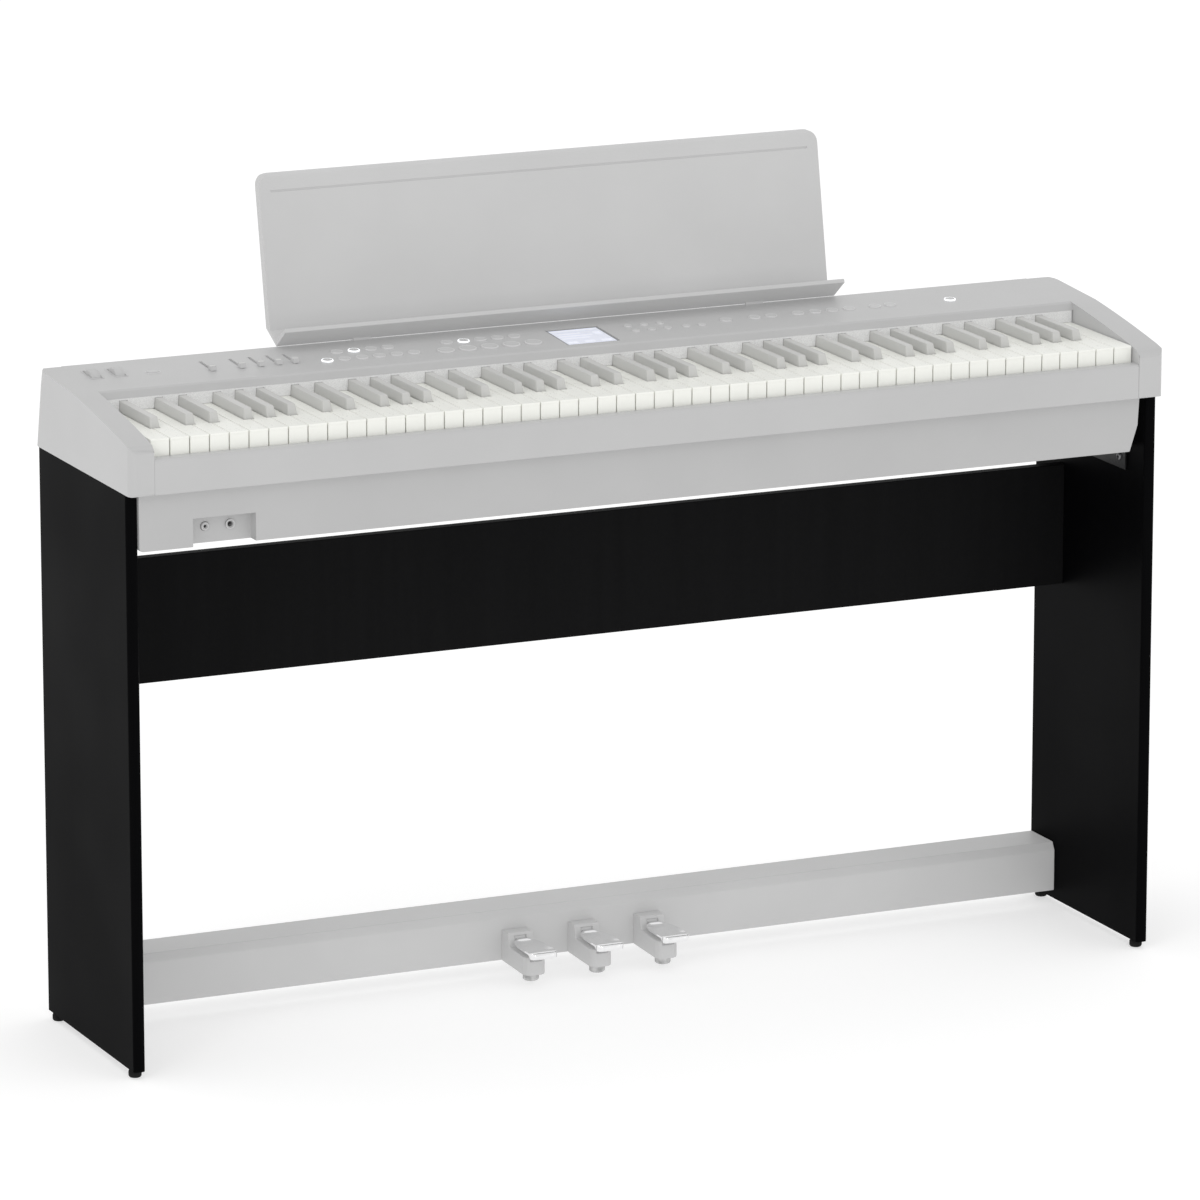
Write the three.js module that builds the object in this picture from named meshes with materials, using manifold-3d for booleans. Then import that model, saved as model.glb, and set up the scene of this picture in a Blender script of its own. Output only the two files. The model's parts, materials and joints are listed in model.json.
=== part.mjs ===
// Digital piano on a stand: eighty-eight keys, slanted control panel, lift-out music rest,
// two side panels with a back panel, and a three-pedal unit.
// Millimetres, +Z up. X runs along the keyboard (low notes at -X), Y runs from the player
// to the back. The parts are laid out from the front face of the cheeks (Y = 0) and the
// whole is then centred, so the origin is the middle of the overall box, on the floor.
import * as THREE from "three";
import { ConvexGeometry } from "three/addons/geometries/ConvexGeometry.js";
import { mergeVertices } from "three/addons/utils/BufferGeometryUtils.js";
import Module from "manifold-3d";

// ---- driving sizes ---------------------------------------------------------------------
const OVERALL_WIDTH = 1291;
const OVERALL_DEPTH = 347;
const OVERALL_HEIGHT = 957.5;
const CHEEK_BOTTOM_Z = 674.7;
const LEFT_CHEEK_WIDTH = 29.1;
const RIGHT_CHEEK_WIDTH = 33.1;
const CREASE_Y = 172;

// sizes that follow from the driving ones
const SPREAD = OVERALL_WIDTH / 1291;
const CABINET_DEPTH = OVERALL_DEPTH - 54;
const CASE_BOTTOM_Z = CHEEK_BOTTOM_Z - 66;
const DECK_REAR_Z = CHEEK_BOTTOM_Z + 91.5;
const DECK_REAR_Y = CABINET_DEPTH - 6;
const CREASE_Z = CHEEK_BOTTOM_Z + 83.8;

// keyboard
const WHITE_KEYS = 52;
const CHEEK_KEY_GAP = 1.4;
const KEYS_WIDTH = OVERALL_WIDTH - LEFT_CHEEK_WIDTH - RIGHT_CHEEK_WIDTH - 2 * CHEEK_KEY_GAP;
const KEY_PITCH = KEYS_WIDTH / WHITE_KEYS;
const KEYS_CENTRE_X = (LEFT_CHEEK_WIDTH - RIGHT_CHEEK_WIDTH) / 2;
const KEY_GAP = 1;
const KEY_FRONT_Y = 15.8;
const WHITE_TOP_Z = CHEEK_BOTTOM_Z + 60.3;
const WHITE_HEIGHT = 24;
const BLACK_FRONT_Y = 70;
const BLACK_WIDTH = 11;
const BLACK_TOP_WIDTH = 9.4;
const BLACK_RISE = 12;
const BLACK_DROP = 13;
const BLACK_FRONT_SLANT = 4;
const BLACK_SIDE_CLEARANCE = 1.1;
const KEY_SPINE_Y = 200;
const KEY_SPINE_DEPTH = 12;
const BLACK_SPINE_CLEARANCE = 4;

// stand
const PANEL_THICKNESS = 14;
const PANEL_INSET = 1;
const PANEL_FRONT_Y = 15.9;
const PANEL_REAR_Y = CABINET_DEPTH - 2.4;
const GLIDE_HEIGHT = 9;
const GLIDE_RADIUS = 7.5;
const BACK_PANEL_FRONT_Y = 216;
const BACK_PANEL_THICKNESS = 15;
const BACK_PANEL_HEIGHT = 147;
const BACK_PANEL_TOP_Z = CASE_BOTTOM_Z - 57.6;
const JOINT_GAP = 0.4;

// pedal unit
const BEAM_FRONT_Y = 226.6;
const BEAM_REAR_Y = CABINET_DEPTH - 5.6;
const BEAM_BOTTOM_Z = 19.8;
const BEAM_TOP_Z = 79.9;
const BEAM_CHAMFER_Y = 5.4;
const BEAM_CHAMFER_Z = 9.5;
const BEAM_WALL = 4;
const PEDAL_SPACING = 85;
const PEDAL_PIVOT_Y = 258;
const PEDAL_PIVOT_Z = 48;
const PEDAL_TIP_Y = 137;
const PEDAL_WIDTH = 35;
const PEDAL_NECK_WIDTH = 12;
const PEDAL_TOP_Z = 50.5;
const ARM_FRONT_Y = 163;
const ARM_WIDTH = 33;
const ARM_FRONT_WIDTH = 25;
const ARM_BOTTOM_Z = 16;
const ARM_TOP_Z = 57;
const FOOT_BOTTOM_Z = 7;
const FOOT_RADIUS = 9.5;
const FOOT_Y = 179;

// cases
const WALL = 3;
const CASE_FRONT_Y = 14.2;
const CASE_REAR_Y = CABINET_DEPTH - 8;
const CASE_TOP_INSET = 24.5;
const CASE_MIDDLE_INSET = 26.5;
const CASE_BOTTOM_INSET = 36.5;
const CASE_SIDE_GAP = 0.6;
const CASE_CORNER = 4;
const CASE_TAPER_Z = CASE_BOTTOM_Z + 31.3;
const CASE_TOP_GAP = 0.3;
const RAIL_FRONT_Y = 0;
const RAIL_TOP_Z = WHITE_TOP_Z - 19.5;
const RECESS_LEFT_X = -566 * SPREAD;
const RECESS_RIGHT_X = -491 * SPREAD;
const RECESS_TOP_Z = CASE_BOTTOM_Z + 32.3;
const RECESS_DEPTH = 16;
const FALL_BOTTOM_Y = 166;
const FALL_BOTTOM_Z = CREASE_Z - 9;
const SPEAKER_X = 450 * SPREAD;
const SPEAKER_Y = 132;
const SPEAKER_RADIUS = 52;

// music rest
const REST_HALF_WIDTH = 355.5 * SPREAD;
const REST_THICKNESS = 12;
const REST_PLATE = 5;
const REST_CORNER = 14;
const REST_PEG_X = 250 * SPREAD;

// controls, placed on the deck: x from the middle, y from the front of the cheeks
const DISPLAY_X = -1;
const DISPLAY_Y = 217.5;
const DISPLAY_WIDTH = 66;
const DISPLAY_DEPTH = 66;
const BUTTON_RADIUS = 6;
const LARGE_BUTTON_RADIUS = 8.6;
const SMALL_BUTTON_RADIUS = 3.8;
const BUTTON_RISE = 1.4;
const BUTTON_CLEARANCE = 0.6;
const WEB_DEPTH = 6;
const WEB_THICKNESS = 2;
const WEB_WIDTH = 8;
const WHEEL_X = [-597, -568].map((x) => x * SPREAD);
const WHEEL_Y = 240;
const WHEEL_RADIUS = 15;
const WHEEL_WIDTH = 11;
const WHEEL_DEPTH = 8;
const POWER_X = -528.6 * SPREAD;
const POWER_Y = 228.5;
const FADER_X = [-461.7, -425.9, -402.5, -380.9, -360.6].map((x) => x * SPREAD);
const FADER_FRONT_Y = 209;
const FADER_SLOT = 44;
const FADER_KNOB_DEPTH = 10;
const FADER_KNOB_WIDTH = 7;

const ROUND_SEGMENTS = 16;
const half = (value) => value / 2;

const wasm = await Module();
wasm.setup();

// ---- materials -------------------------------------------------------------------------
function material(colour, roughness, metalness = 0) {
  return new THREE.MeshStandardMaterial({ color: colour, roughness, metalness });
}
const CASE_GREY = material(0xbcbcbc, 0.5);
const LOWER_GREY = material(0xb8b8b8, 0.55);
const PEDAL_GREY = material(0xc0c0c0, 0.5);
const STAND_BLACK = material(0x1b1b1d, 0.6);
const KEY_WHITE = material(0xeeefe8, 0.35);
const KEY_DARK = material(0xa6a6a4, 0.45);
const CHROME = material(0xdcdcdc, 0.12, 1);
const RUBBER = material(0x161616, 0.85);
const STEEL = material(0x2a2a2c, 0.45, 0.8);
const GLASS = material(0xdfe8f2, 0.15);
const BOARD_GREEN = material(0x2c5a3c, 0.6);
const SOCKET_BLACK = material(0x202022, 0.5);

// ---- geometry helpers ------------------------------------------------------------------
function shapeOf(points) {
  return new THREE.Shape(points.map(([a, b]) => new THREE.Vector2(a, b)));
}

function extrude(points, length) {
  return new THREE.ExtrudeGeometry(shapeOf(points), { depth: length, bevelEnabled: false });
}

// outline in (y, z), running from x0 to x1
function alongX(points, x0, x1) {
  const geometry = extrude(points, x1 - x0);
  const yAxis = new THREE.Vector3(0, 1, 0);
  const zAxis = new THREE.Vector3(0, 0, 1);
  const xAxis = new THREE.Vector3(1, 0, 0);
  geometry.applyMatrix4(new THREE.Matrix4().makeBasis(yAxis, zAxis, xAxis));
  return geometry.translate(x0, 0, 0);
}

// outline in (x, z), running from y0 to y1
function alongY(points, y0, y1) {
  const geometry = extrude(points, y1 - y0);
  geometry.rotateX(Math.PI / 2);
  return geometry.translate(0, y1, 0);
}

// outline in (x, y), running from z0 to z1
function alongZ(points, z0, z1) {
  return extrude(points, z1 - z0).translate(0, 0, z0);
}

function box(x0, x1, y0, y1, z0, z1) {
  const geometry = new THREE.BoxGeometry(x1 - x0, y1 - y0, z1 - z0);
  return geometry.translate(half(x0 + x1), half(y0 + y1), half(z0 + z1));
}

// rounded rectangle outline; radii start at (a0, b0) and go round anticlockwise
function roundedOutline(a0, a1, b0, b1, radii, steps = 4) {
  const centres = [
    [a0 + radii[0], b0 + radii[0], Math.PI, radii[0]],
    [a1 - radii[1], b0 + radii[1], 1.5 * Math.PI, radii[1]],
    [a1 - radii[2], b1 - radii[2], 0, radii[2]],
    [a0 + radii[3], b1 - radii[3], 0.5 * Math.PI, radii[3]],
  ];
  const points = [];
  for (const [a, b, start, radius] of centres) {
    for (let i = 0; i <= steps; i += 1) {
      const angle = start + (i / steps) * half(Math.PI);
      points.push([a + radius * Math.cos(angle), b + radius * Math.sin(angle)]);
    }
  }
  return points;
}

// upright cylinder, or a cone when the two radii differ
function upright(x, y, z0, z1, radius, topRadius = radius, segments = ROUND_SEGMENTS) {
  const geometry = new THREE.CylinderGeometry(topRadius, radius, z1 - z0, segments);
  geometry.rotateX(Math.PI / 2);
  return geometry.translate(x, y, half(z0 + z1));
}

// cylinder lying along Y
function lengthwise(x, z, y0, y1, radius, segments = ROUND_SEGMENTS) {
  const geometry = new THREE.CylinderGeometry(radius, radius, y1 - y0, segments);
  return geometry.translate(x, half(y0 + y1), z);
}

function toManifold(geometry) {
  const bare = new THREE.BufferGeometry();
  bare.setAttribute("position", geometry.getAttribute("position"));
  if (geometry.index) {
    bare.setIndex(geometry.index);
  }
  const merged = mergeVertices(bare, 1e-4);
  const mesh = new wasm.Mesh({
    numProp: 3,
    vertProperties: new Float32Array(merged.getAttribute("position").array),
    triVerts: new Uint32Array(merged.index.array),
  });
  return new wasm.Manifold(mesh);
}

function toGeometry(solid) {
  const mesh = solid.getMesh();
  const geometry = new THREE.BufferGeometry();
  const positions = new Float32Array(mesh.vertProperties);
  geometry.setAttribute("position", new THREE.BufferAttribute(positions, 3));
  geometry.setIndex(new THREE.BufferAttribute(new Uint32Array(mesh.triVerts), 1));
  geometry.computeVertexNormals();
  return geometry;
}

function joined(...geometries) {
  return toGeometry(geometries.map(toManifold).reduce((sum, next) => sum.add(next)));
}

function cut(base, holes) {
  return toGeometry(holes.map(toManifold).reduce((rest, hole) => rest.subtract(hole),
    toManifold(base)));
}

function common(first, second) {
  return toGeometry(toManifold(first).intersect(toManifold(second)));
}

function node(name, geometry, look) {
  const mesh = new THREE.Mesh(geometry, look);
  mesh.name = name;
  return mesh;
}

// ---- the deck plane --------------------------------------------------------------------
const DECK_SLOPE = Math.atan2(DECK_REAR_Z - CREASE_Z, DECK_REAR_Y - CREASE_Y);

function deckZ(y) {
  return CREASE_Z + (y - CREASE_Y) * Math.tan(DECK_SLOPE);
}

// turns a shape modelled on a level deck (z = 0 is the surface, y as seen from the front)
// so that it lies on the slanted deck
function onDeck(geometry) {
  geometry.translate(0, -CREASE_Y, 0);
  geometry.rotateX(DECK_SLOPE);
  return geometry.translate(0, CREASE_Y, CREASE_Z);
}

// ---- stand -----------------------------------------------------------------------------
const HALF_WIDTH = half(OVERALL_WIDTH);
const PANEL_OUTER = HALF_WIDTH - PANEL_INSET;
const PANEL_INNER = PANEL_OUTER - PANEL_THICKNESS;
const GLIDE_STEM_RADIUS = 3;
const GLIDE_STEM_LENGTH = 14;
const STEM_CLEARANCE = 0.4;
const GLIDE_Y = [PANEL_FRONT_Y + 16, PANEL_REAR_Y - 16];
const BACK_EDGE_RADIUS = 1.5;

function sidePanel(side) {
  const x0 = side < 0 ? -PANEL_OUTER : PANEL_INNER;
  const plan = roundedOutline(x0, x0 + PANEL_THICKNESS, PANEL_FRONT_Y, PANEL_REAR_Y,
    [4, 4, BACK_EDGE_RADIUS, BACK_EDGE_RADIUS]);
  const board = alongZ(plan, GLIDE_HEIGHT, CHEEK_BOTTOM_Z - JOINT_GAP);
  const middleX = x0 + half(PANEL_THICKNESS);
  const top = GLIDE_HEIGHT + GLIDE_STEM_LENGTH + STEM_CLEARANCE;
  const radius = GLIDE_STEM_RADIUS + STEM_CLEARANCE;
  return cut(board, GLIDE_Y.map((y) => upright(middleX, y, GLIDE_HEIGHT - 1, top, radius)));
}

function glide(side, y) {
  const x = side * half(PANEL_OUTER + PANEL_INNER);
  const padTop = GLIDE_HEIGHT - STEM_CLEARANCE;
  const foot = upright(x, y, 0, 2, GLIDE_RADIUS - 1.2, GLIDE_RADIUS);
  const pad = upright(x, y, 2, padTop, GLIDE_RADIUS);
  const stem = upright(x, y, padTop - 1, GLIDE_HEIGHT + GLIDE_STEM_LENGTH, GLIDE_STEM_RADIUS);
  return joined(foot, pad, stem);
}

function backPanel() {
  const section = roundedOutline(BACK_PANEL_FRONT_Y, BACK_PANEL_FRONT_Y + BACK_PANEL_THICKNESS,
    BACK_PANEL_TOP_Z - BACK_PANEL_HEIGHT, BACK_PANEL_TOP_Z,
    [BACK_EDGE_RADIUS, BACK_EDGE_RADIUS, BACK_EDGE_RADIUS, BACK_EDGE_RADIUS], 3);
  return alongX(section, -PANEL_INNER + JOINT_GAP, PANEL_INNER - JOINT_GAP);
}

// steel angle that ties a side panel to the underside of the case
const BRACKET_FRONT_Y = 60;
const BRACKET_REAR_Y = 205;
const BRACKET_DROP = 32;
const BRACKET_REACH = 40;
const BRACKET_STEEL = 2.5;

function bracket(side) {
  const top = CASE_BOTTOM_Z - JOINT_GAP;
  const outer = side * (PANEL_INNER - JOINT_GAP);
  const inner = outer - side * BRACKET_REACH;
  const skin = outer - side * BRACKET_STEEL;
  const points = [
    [outer, top],
    [inner, top],
    [inner, top - BRACKET_STEEL],
    [skin, top - BRACKET_STEEL],
    [skin, top - BRACKET_DROP],
    [outer, top - BRACKET_DROP],
  ];
  const angle = alongY(points, BRACKET_FRONT_Y, BRACKET_REAR_Y);
  const flangeX = outer - side * (BRACKET_REACH - 10);
  const holes = [BRACKET_FRONT_Y + 12, BRACKET_FRONT_Y + 34, BRACKET_REAR_Y - 12]
    .map((y) => upright(flangeX, y, top - 5, top + 1, 2.6));
  return cut(angle, holes);
}

// ---- pedal unit ------------------------------------------------------------------------
const PEDAL_X = [-PEDAL_SPACING, 0, PEDAL_SPACING];
const LEVER_SLOT_WIDTH = PEDAL_NECK_WIDTH + 3;
const LEVER_BOTTOM_Z = 45;
const SLOT_BOTTOM_Z = 33;
const SLOT_TOP_Z = 53;

function beamSection() {
  return [
    [BEAM_FRONT_Y, BEAM_BOTTOM_Z],
    [BEAM_REAR_Y, BEAM_BOTTOM_Z],
    [BEAM_REAR_Y, BEAM_BOTTOM_Z + BEAM_WALL],
    [BEAM_FRONT_Y + BEAM_WALL, BEAM_BOTTOM_Z + BEAM_WALL],
    [BEAM_FRONT_Y + BEAM_WALL, BEAM_TOP_Z - BEAM_CHAMFER_Z - 1],
    [BEAM_FRONT_Y + BEAM_WALL + BEAM_CHAMFER_Y - 1, BEAM_TOP_Z - BEAM_WALL],
    [BEAM_REAR_Y, BEAM_TOP_Z - BEAM_WALL],
    [BEAM_REAR_Y, BEAM_TOP_Z],
    [BEAM_FRONT_Y + BEAM_CHAMFER_Y, BEAM_TOP_Z],
    [BEAM_FRONT_Y, BEAM_TOP_Z - BEAM_CHAMFER_Z],
  ];
}

function pedalBeam() {
  const end = PANEL_INNER - JOINT_GAP;
  const channel = alongX(beamSection(), -end, end);
  const slots = PEDAL_X.map((x) => box(x - half(LEVER_SLOT_WIDTH), x + half(LEVER_SLOT_WIDTH),
    BEAM_FRONT_Y - 1, BEAM_FRONT_Y + BEAM_WALL + 1, SLOT_BOTTOM_Z, SLOT_TOP_Z));
  return cut(channel, slots);
}

function beamCover() {
  const end = PANEL_INNER - JOINT_GAP;
  const low = BEAM_BOTTOM_Z + BEAM_WALL + JOINT_GAP;
  const high = BEAM_TOP_Z - BEAM_WALL - JOINT_GAP;
  return box(-end, end, BEAM_REAR_Y - WALL, BEAM_REAR_Y, low, high);
}

// arm that carries the lever in front of the beam; open on top ahead of its short cover
const ARM_COVER_LENGTH = 17;
const ARM_SIDE_Z = 41.2;
const ARM_SIDE_FALL = 3.4;
const FOOT_STEM_RADIUS = 4;
const FOOT_STEM_LENGTH = 12;

function pedalArm(x) {
  const rear = BEAM_FRONT_Y - JOINT_GAP;
  const frontRound = 7;
  const frontHalf = half(ARM_FRONT_WIDTH);
  const plan = [
    [x - half(ARM_WIDTH), rear],
    [x - frontHalf - 1.5, ARM_FRONT_Y + frontRound],
    [x - frontHalf + 1.2, ARM_FRONT_Y + 2.2],
    [x - frontHalf + 5, ARM_FRONT_Y],
    [x + frontHalf - 5, ARM_FRONT_Y],
    [x + frontHalf - 1.2, ARM_FRONT_Y + 2.2],
    [x + frontHalf + 1.5, ARM_FRONT_Y + frontRound],
    [x + half(ARM_WIDTH), rear],
  ];
  const side = [
    [ARM_FRONT_Y - 1, ARM_BOTTOM_Z],
    [rear + 1, ARM_BOTTOM_Z + 4],
    [rear + 1, ARM_TOP_Z],
    [rear - ARM_COVER_LENGTH, ARM_TOP_Z],
    [rear - ARM_COVER_LENGTH - 3, ARM_SIDE_Z],
    [ARM_FRONT_Y - 1, ARM_SIDE_Z - ARM_SIDE_FALL],
  ];
  const wide = half(ARM_WIDTH) + 1;
  const body = common(alongZ(plan, ARM_BOTTOM_Z - 1, ARM_TOP_Z + 1),
    alongX(side, x - wide, x + wide));
  const channel = box(x - half(LEVER_SLOT_WIDTH), x + half(LEVER_SLOT_WIDTH),
    ARM_FRONT_Y - 2, rear + 2, SLOT_BOTTOM_Z, SLOT_TOP_Z);
  const bore = upright(x, FOOT_Y, ARM_BOTTOM_Z - 2, ARM_BOTTOM_Z + FOOT_STEM_LENGTH + 2,
    FOOT_STEM_RADIUS + STEM_CLEARANCE);
  return cut(body, [channel, bore]);
}

function adjusterFoot(x) {
  const shoulder = ARM_BOTTOM_Z - JOINT_GAP;
  const rim = upright(x, FOOT_Y, FOOT_BOTTOM_Z, FOOT_BOTTOM_Z + 2, FOOT_RADIUS - 1, FOOT_RADIUS);
  const pad = upright(x, FOOT_Y, FOOT_BOTTOM_Z + 2, shoulder, FOOT_RADIUS);
  const stem = upright(x, FOOT_Y, shoulder - 1, ARM_BOTTOM_Z + FOOT_STEM_LENGTH,
    FOOT_STEM_RADIUS);
  return joined(rim, pad, stem);
}

// chrome lever: straight neck through the slot, round-ended plate, rolled front edge
const ROLL_RADIUS = 5;
const PLATE_REAR_Y = 204;
const PLATE_THICKNESS = 4;

function platePlan(x) {
  const neck = half(PEDAL_NECK_WIDTH);
  const wide = half(PEDAL_WIDTH);
  const rows = [
    [PLATE_REAR_Y, neck],
    [PLATE_REAR_Y - 2, neck + 3.5],
    [PLATE_REAR_Y - 6, neck + 6.7],
    [PLATE_REAR_Y - 12, neck + 9],
    [PLATE_REAR_Y - 20, wide - 1],
    [PLATE_REAR_Y - 30, wide],
    [PEDAL_TIP_Y + 9, wide],
    [PEDAL_TIP_Y + 3, wide - 3],
    [PEDAL_TIP_Y + 0.4, wide - 9],
  ];
  const left = rows.map(([y, w]) => [x - w, y]);
  const right = rows.map(([y, w]) => [x + w, y]).reverse();
  return left.concat([[x, PEDAL_TIP_Y]], right);
}

function pedalLever(x) {
  const neck = box(x - half(PEDAL_NECK_WIDTH), x + half(PEDAL_NECK_WIDTH),
    PLATE_REAR_Y - 6, PEDAL_PIVOT_Y + 8, LEVER_BOTTOM_Z, PEDAL_TOP_Z);
  const under = PEDAL_TOP_Z - PLATE_THICKNESS;
  const side = [
    [PEDAL_TIP_Y - 1, PEDAL_TOP_Z - ROLL_RADIUS * 2],
    [PEDAL_TIP_Y + ROLL_RADIUS, PEDAL_TOP_Z - ROLL_RADIUS * 2],
    [PEDAL_TIP_Y + ROLL_RADIUS * 2, under],
    [PLATE_REAR_Y + 1, under],
    [PLATE_REAR_Y + 1, PEDAL_TOP_Z],
    [PEDAL_TIP_Y + ROLL_RADIUS, PEDAL_TOP_Z],
    [PEDAL_TIP_Y + 1.5, PEDAL_TOP_Z - 1.5],
    [PEDAL_TIP_Y - 1, PEDAL_TOP_Z - ROLL_RADIUS],
  ];
  const plate = common(alongZ(platePlan(x), PEDAL_TOP_Z - 12, PEDAL_TOP_Z + 1),
    alongX(side, x - PEDAL_WIDTH, x + PEDAL_WIDTH));
  return joined(neck, plate);
}

// ---- cases -----------------------------------------------------------------------------
const KEYS_LEFT_X = KEYS_CENTRE_X - half(WHITE_KEYS * KEY_PITCH);
const KEYS_RIGHT_X = KEYS_CENTRE_X + half(WHITE_KEYS * KEY_PITCH);
const CHEEK_LEFT_X = KEYS_LEFT_X - CHEEK_KEY_GAP;
const CHEEK_RIGHT_X = KEYS_RIGHT_X + CHEEK_KEY_GAP;
const CHEEK_FRONT_TOP_Z = CHEEK_BOTTOM_Z + 56.3;

// falling top line of the cheeks, from the front edge to the crease and on to the rear
function cheekTop() {
  const points = [[2.5, CHEEK_FRONT_TOP_Z - 3.5], [7, CHEEK_FRONT_TOP_Z]];
  const frontY = 20;
  const frontZ = CHEEK_FRONT_TOP_Z + 3.2;
  const fullRise = CREASE_Z - frontZ;
  for (let i = 0; i <= 6; i += 1) {
    const share = i / 6;
    const bulge = 3.1 * share * (1 - share);
    points.push([frontY + share * (CREASE_Y - frontY), frontZ + fullRise * share + bulge * 1.6]);
  }
  return points;
}

// rear outer corner: its rounding grows from the bottom edge to the top
const CHEEK_CORNER_LEVELS = [[-5, 1.5], [2, 1.5], [73, 19], [98, 28]];

function cheekHull(x0, x1, side) {
  const points = [];
  for (const [rise, radius] of CHEEK_CORNER_LEVELS) {
    const radii = side < 0 ? [9, 2, 0.5, radius] : [2, 9, radius, 0.5];
    for (const [x, y] of roundedOutline(x0, x1, 0, CABINET_DEPTH, radii, 5)) {
      points.push(new THREE.Vector3(x, y, CHEEK_BOTTOM_Z + rise));
    }
  }
  return new ConvexGeometry(points);
}

function cheek(side) {
  const outline = [[0, CHEEK_BOTTOM_Z + 2], [0, CHEEK_FRONT_TOP_Z - 8]]
    .concat(cheekTop(), [
      [DECK_REAR_Y - 4, deckZ(DECK_REAR_Y - 4)],
      [DECK_REAR_Y + 2, DECK_REAR_Z - 1.5],
      [CABINET_DEPTH - 0.5, DECK_REAR_Z - 7],
      [CABINET_DEPTH, DECK_REAR_Z - 12],
      [CABINET_DEPTH, CHEEK_BOTTOM_Z + 2],
      [CABINET_DEPTH - 2, CHEEK_BOTTOM_Z],
      [2, CHEEK_BOTTOM_Z],
    ]).reverse();
  const x0 = side < 0 ? -HALF_WIDTH : CHEEK_RIGHT_X;
  const x1 = side < 0 ? CHEEK_LEFT_X : HALF_WIDTH;
  return common(alongX(outline, x0 - 1, x1 + 1), cheekHull(x0, x1, side));
}

function frontRail() {
  const section = [
    [RAIL_FRONT_Y, CHEEK_BOTTOM_Z + 1],
    [RAIL_FRONT_Y + 1, CHEEK_BOTTOM_Z],
    [CASE_FRONT_Y - 0.3, CHEEK_BOTTOM_Z],
    [CASE_FRONT_Y - 0.3, CHEEK_BOTTOM_Z + WALL],
    [RAIL_FRONT_Y + WALL, CHEEK_BOTTOM_Z + WALL],
    [RAIL_FRONT_Y + WALL, RAIL_TOP_Z - WALL],
    [KEY_FRONT_Y - 1, RAIL_TOP_Z - WALL],
    [KEY_FRONT_Y - 1, RAIL_TOP_Z],
    [RAIL_FRONT_Y + 3, RAIL_TOP_Z],
    [RAIL_FRONT_Y + 0.9, RAIL_TOP_Z - 0.9],
    [RAIL_FRONT_Y, RAIL_TOP_Z - 3],
  ];
  return alongX(section, CHEEK_LEFT_X + JOINT_GAP, CHEEK_RIGHT_X - JOINT_GAP);
}

// the left end stands upright beside the side panel, the right end tapers in
const CASE_LEFT_X = -PANEL_INNER + CASE_SIDE_GAP;

function trayOutline(inset, bottomZ, topZ) {
  const left = CASE_LEFT_X + inset;
  const right = HALF_WIDTH - inset;
  const corner = CASE_CORNER;
  return [
    [left + corner, bottomZ],
    [right - CASE_BOTTOM_INSET, bottomZ],
    [right - CASE_MIDDLE_INSET, CASE_TAPER_Z],
    [right - CASE_TOP_INSET, topZ],
    [left, topZ],
    [left, bottomZ + corner],
    [left + corner * 0.29, bottomZ + corner * 0.29],
  ];
}

const JACK_X = [RECESS_LEFT_X + 20, RECESS_LEFT_X + 50];
const JACK_Z = CASE_BOTTOM_Z + 18.8;
const JACK_SLEEVE_RADIUS = 5;
const JACK_BODY = 17;
const SOCKET_LEFT_X = 250 * SPREAD;
const SOCKET_RIGHT_X = SOCKET_LEFT_X + 150;
const SOCKET_BOTTOM_Z = CASE_BOTTOM_Z + 19.3;
const SOCKET_TOP_Z = CASE_BOTTOM_Z + 45.3;

function speakerSlots(x) {
  const slots = [];
  for (let row = -3; row <= 3; row += 1) {
    const y = SPEAKER_Y + row * 12;
    const reach = Math.sqrt((SPEAKER_RADIUS - 8) ** 2 - (row * 12) ** 2);
    slots.push(box(x - reach, x + reach, y - 2, y + 2, CASE_BOTTOM_Z - 1,
      CASE_BOTTOM_Z + WALL + 1));
  }
  return slots;
}

function lowerCase() {
  const topZ = CHEEK_BOTTOM_Z - CASE_TOP_GAP;
  const outer = alongY(trayOutline(0, CASE_BOTTOM_Z, topZ), CASE_FRONT_Y, CASE_REAR_Y);
  const hollow = alongY(trayOutline(WALL, CASE_BOTTOM_Z + WALL, topZ + 1),
    CASE_FRONT_Y + WALL, CASE_REAR_Y - WALL);
  const tray = cut(outer, [hollow]);
  const wallBack = CASE_FRONT_Y + RECESS_DEPTH + WALL;
  const liner = box(RECESS_LEFT_X - WALL, RECESS_RIGHT_X + WALL, CASE_FRONT_Y + 1, wallBack,
    CASE_BOTTOM_Z, RECESS_TOP_Z + WALL);
  const recess = box(RECESS_LEFT_X, RECESS_RIGHT_X, CASE_FRONT_Y - 1,
    CASE_FRONT_Y + RECESS_DEPTH, CASE_BOTTOM_Z - 1, RECESS_TOP_Z);
  const jackHoles = JACK_X.map((x) => lengthwise(x, JACK_Z, CASE_FRONT_Y + RECESS_DEPTH - 1,
    wallBack + 1, JACK_SLEEVE_RADIUS + STEM_CLEARANCE));
  const socketHole = box(SOCKET_LEFT_X, SOCKET_RIGHT_X, CASE_REAR_Y - WALL - 1,
    CASE_REAR_Y + 1, SOCKET_BOTTOM_Z, SOCKET_TOP_Z);
  const grilles = speakerSlots(-SPEAKER_X).concat(speakerSlots(SPEAKER_X));
  return cut(joined(tray, liner), [recess, socketHole].concat(jackHoles, grilles));
}

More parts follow.
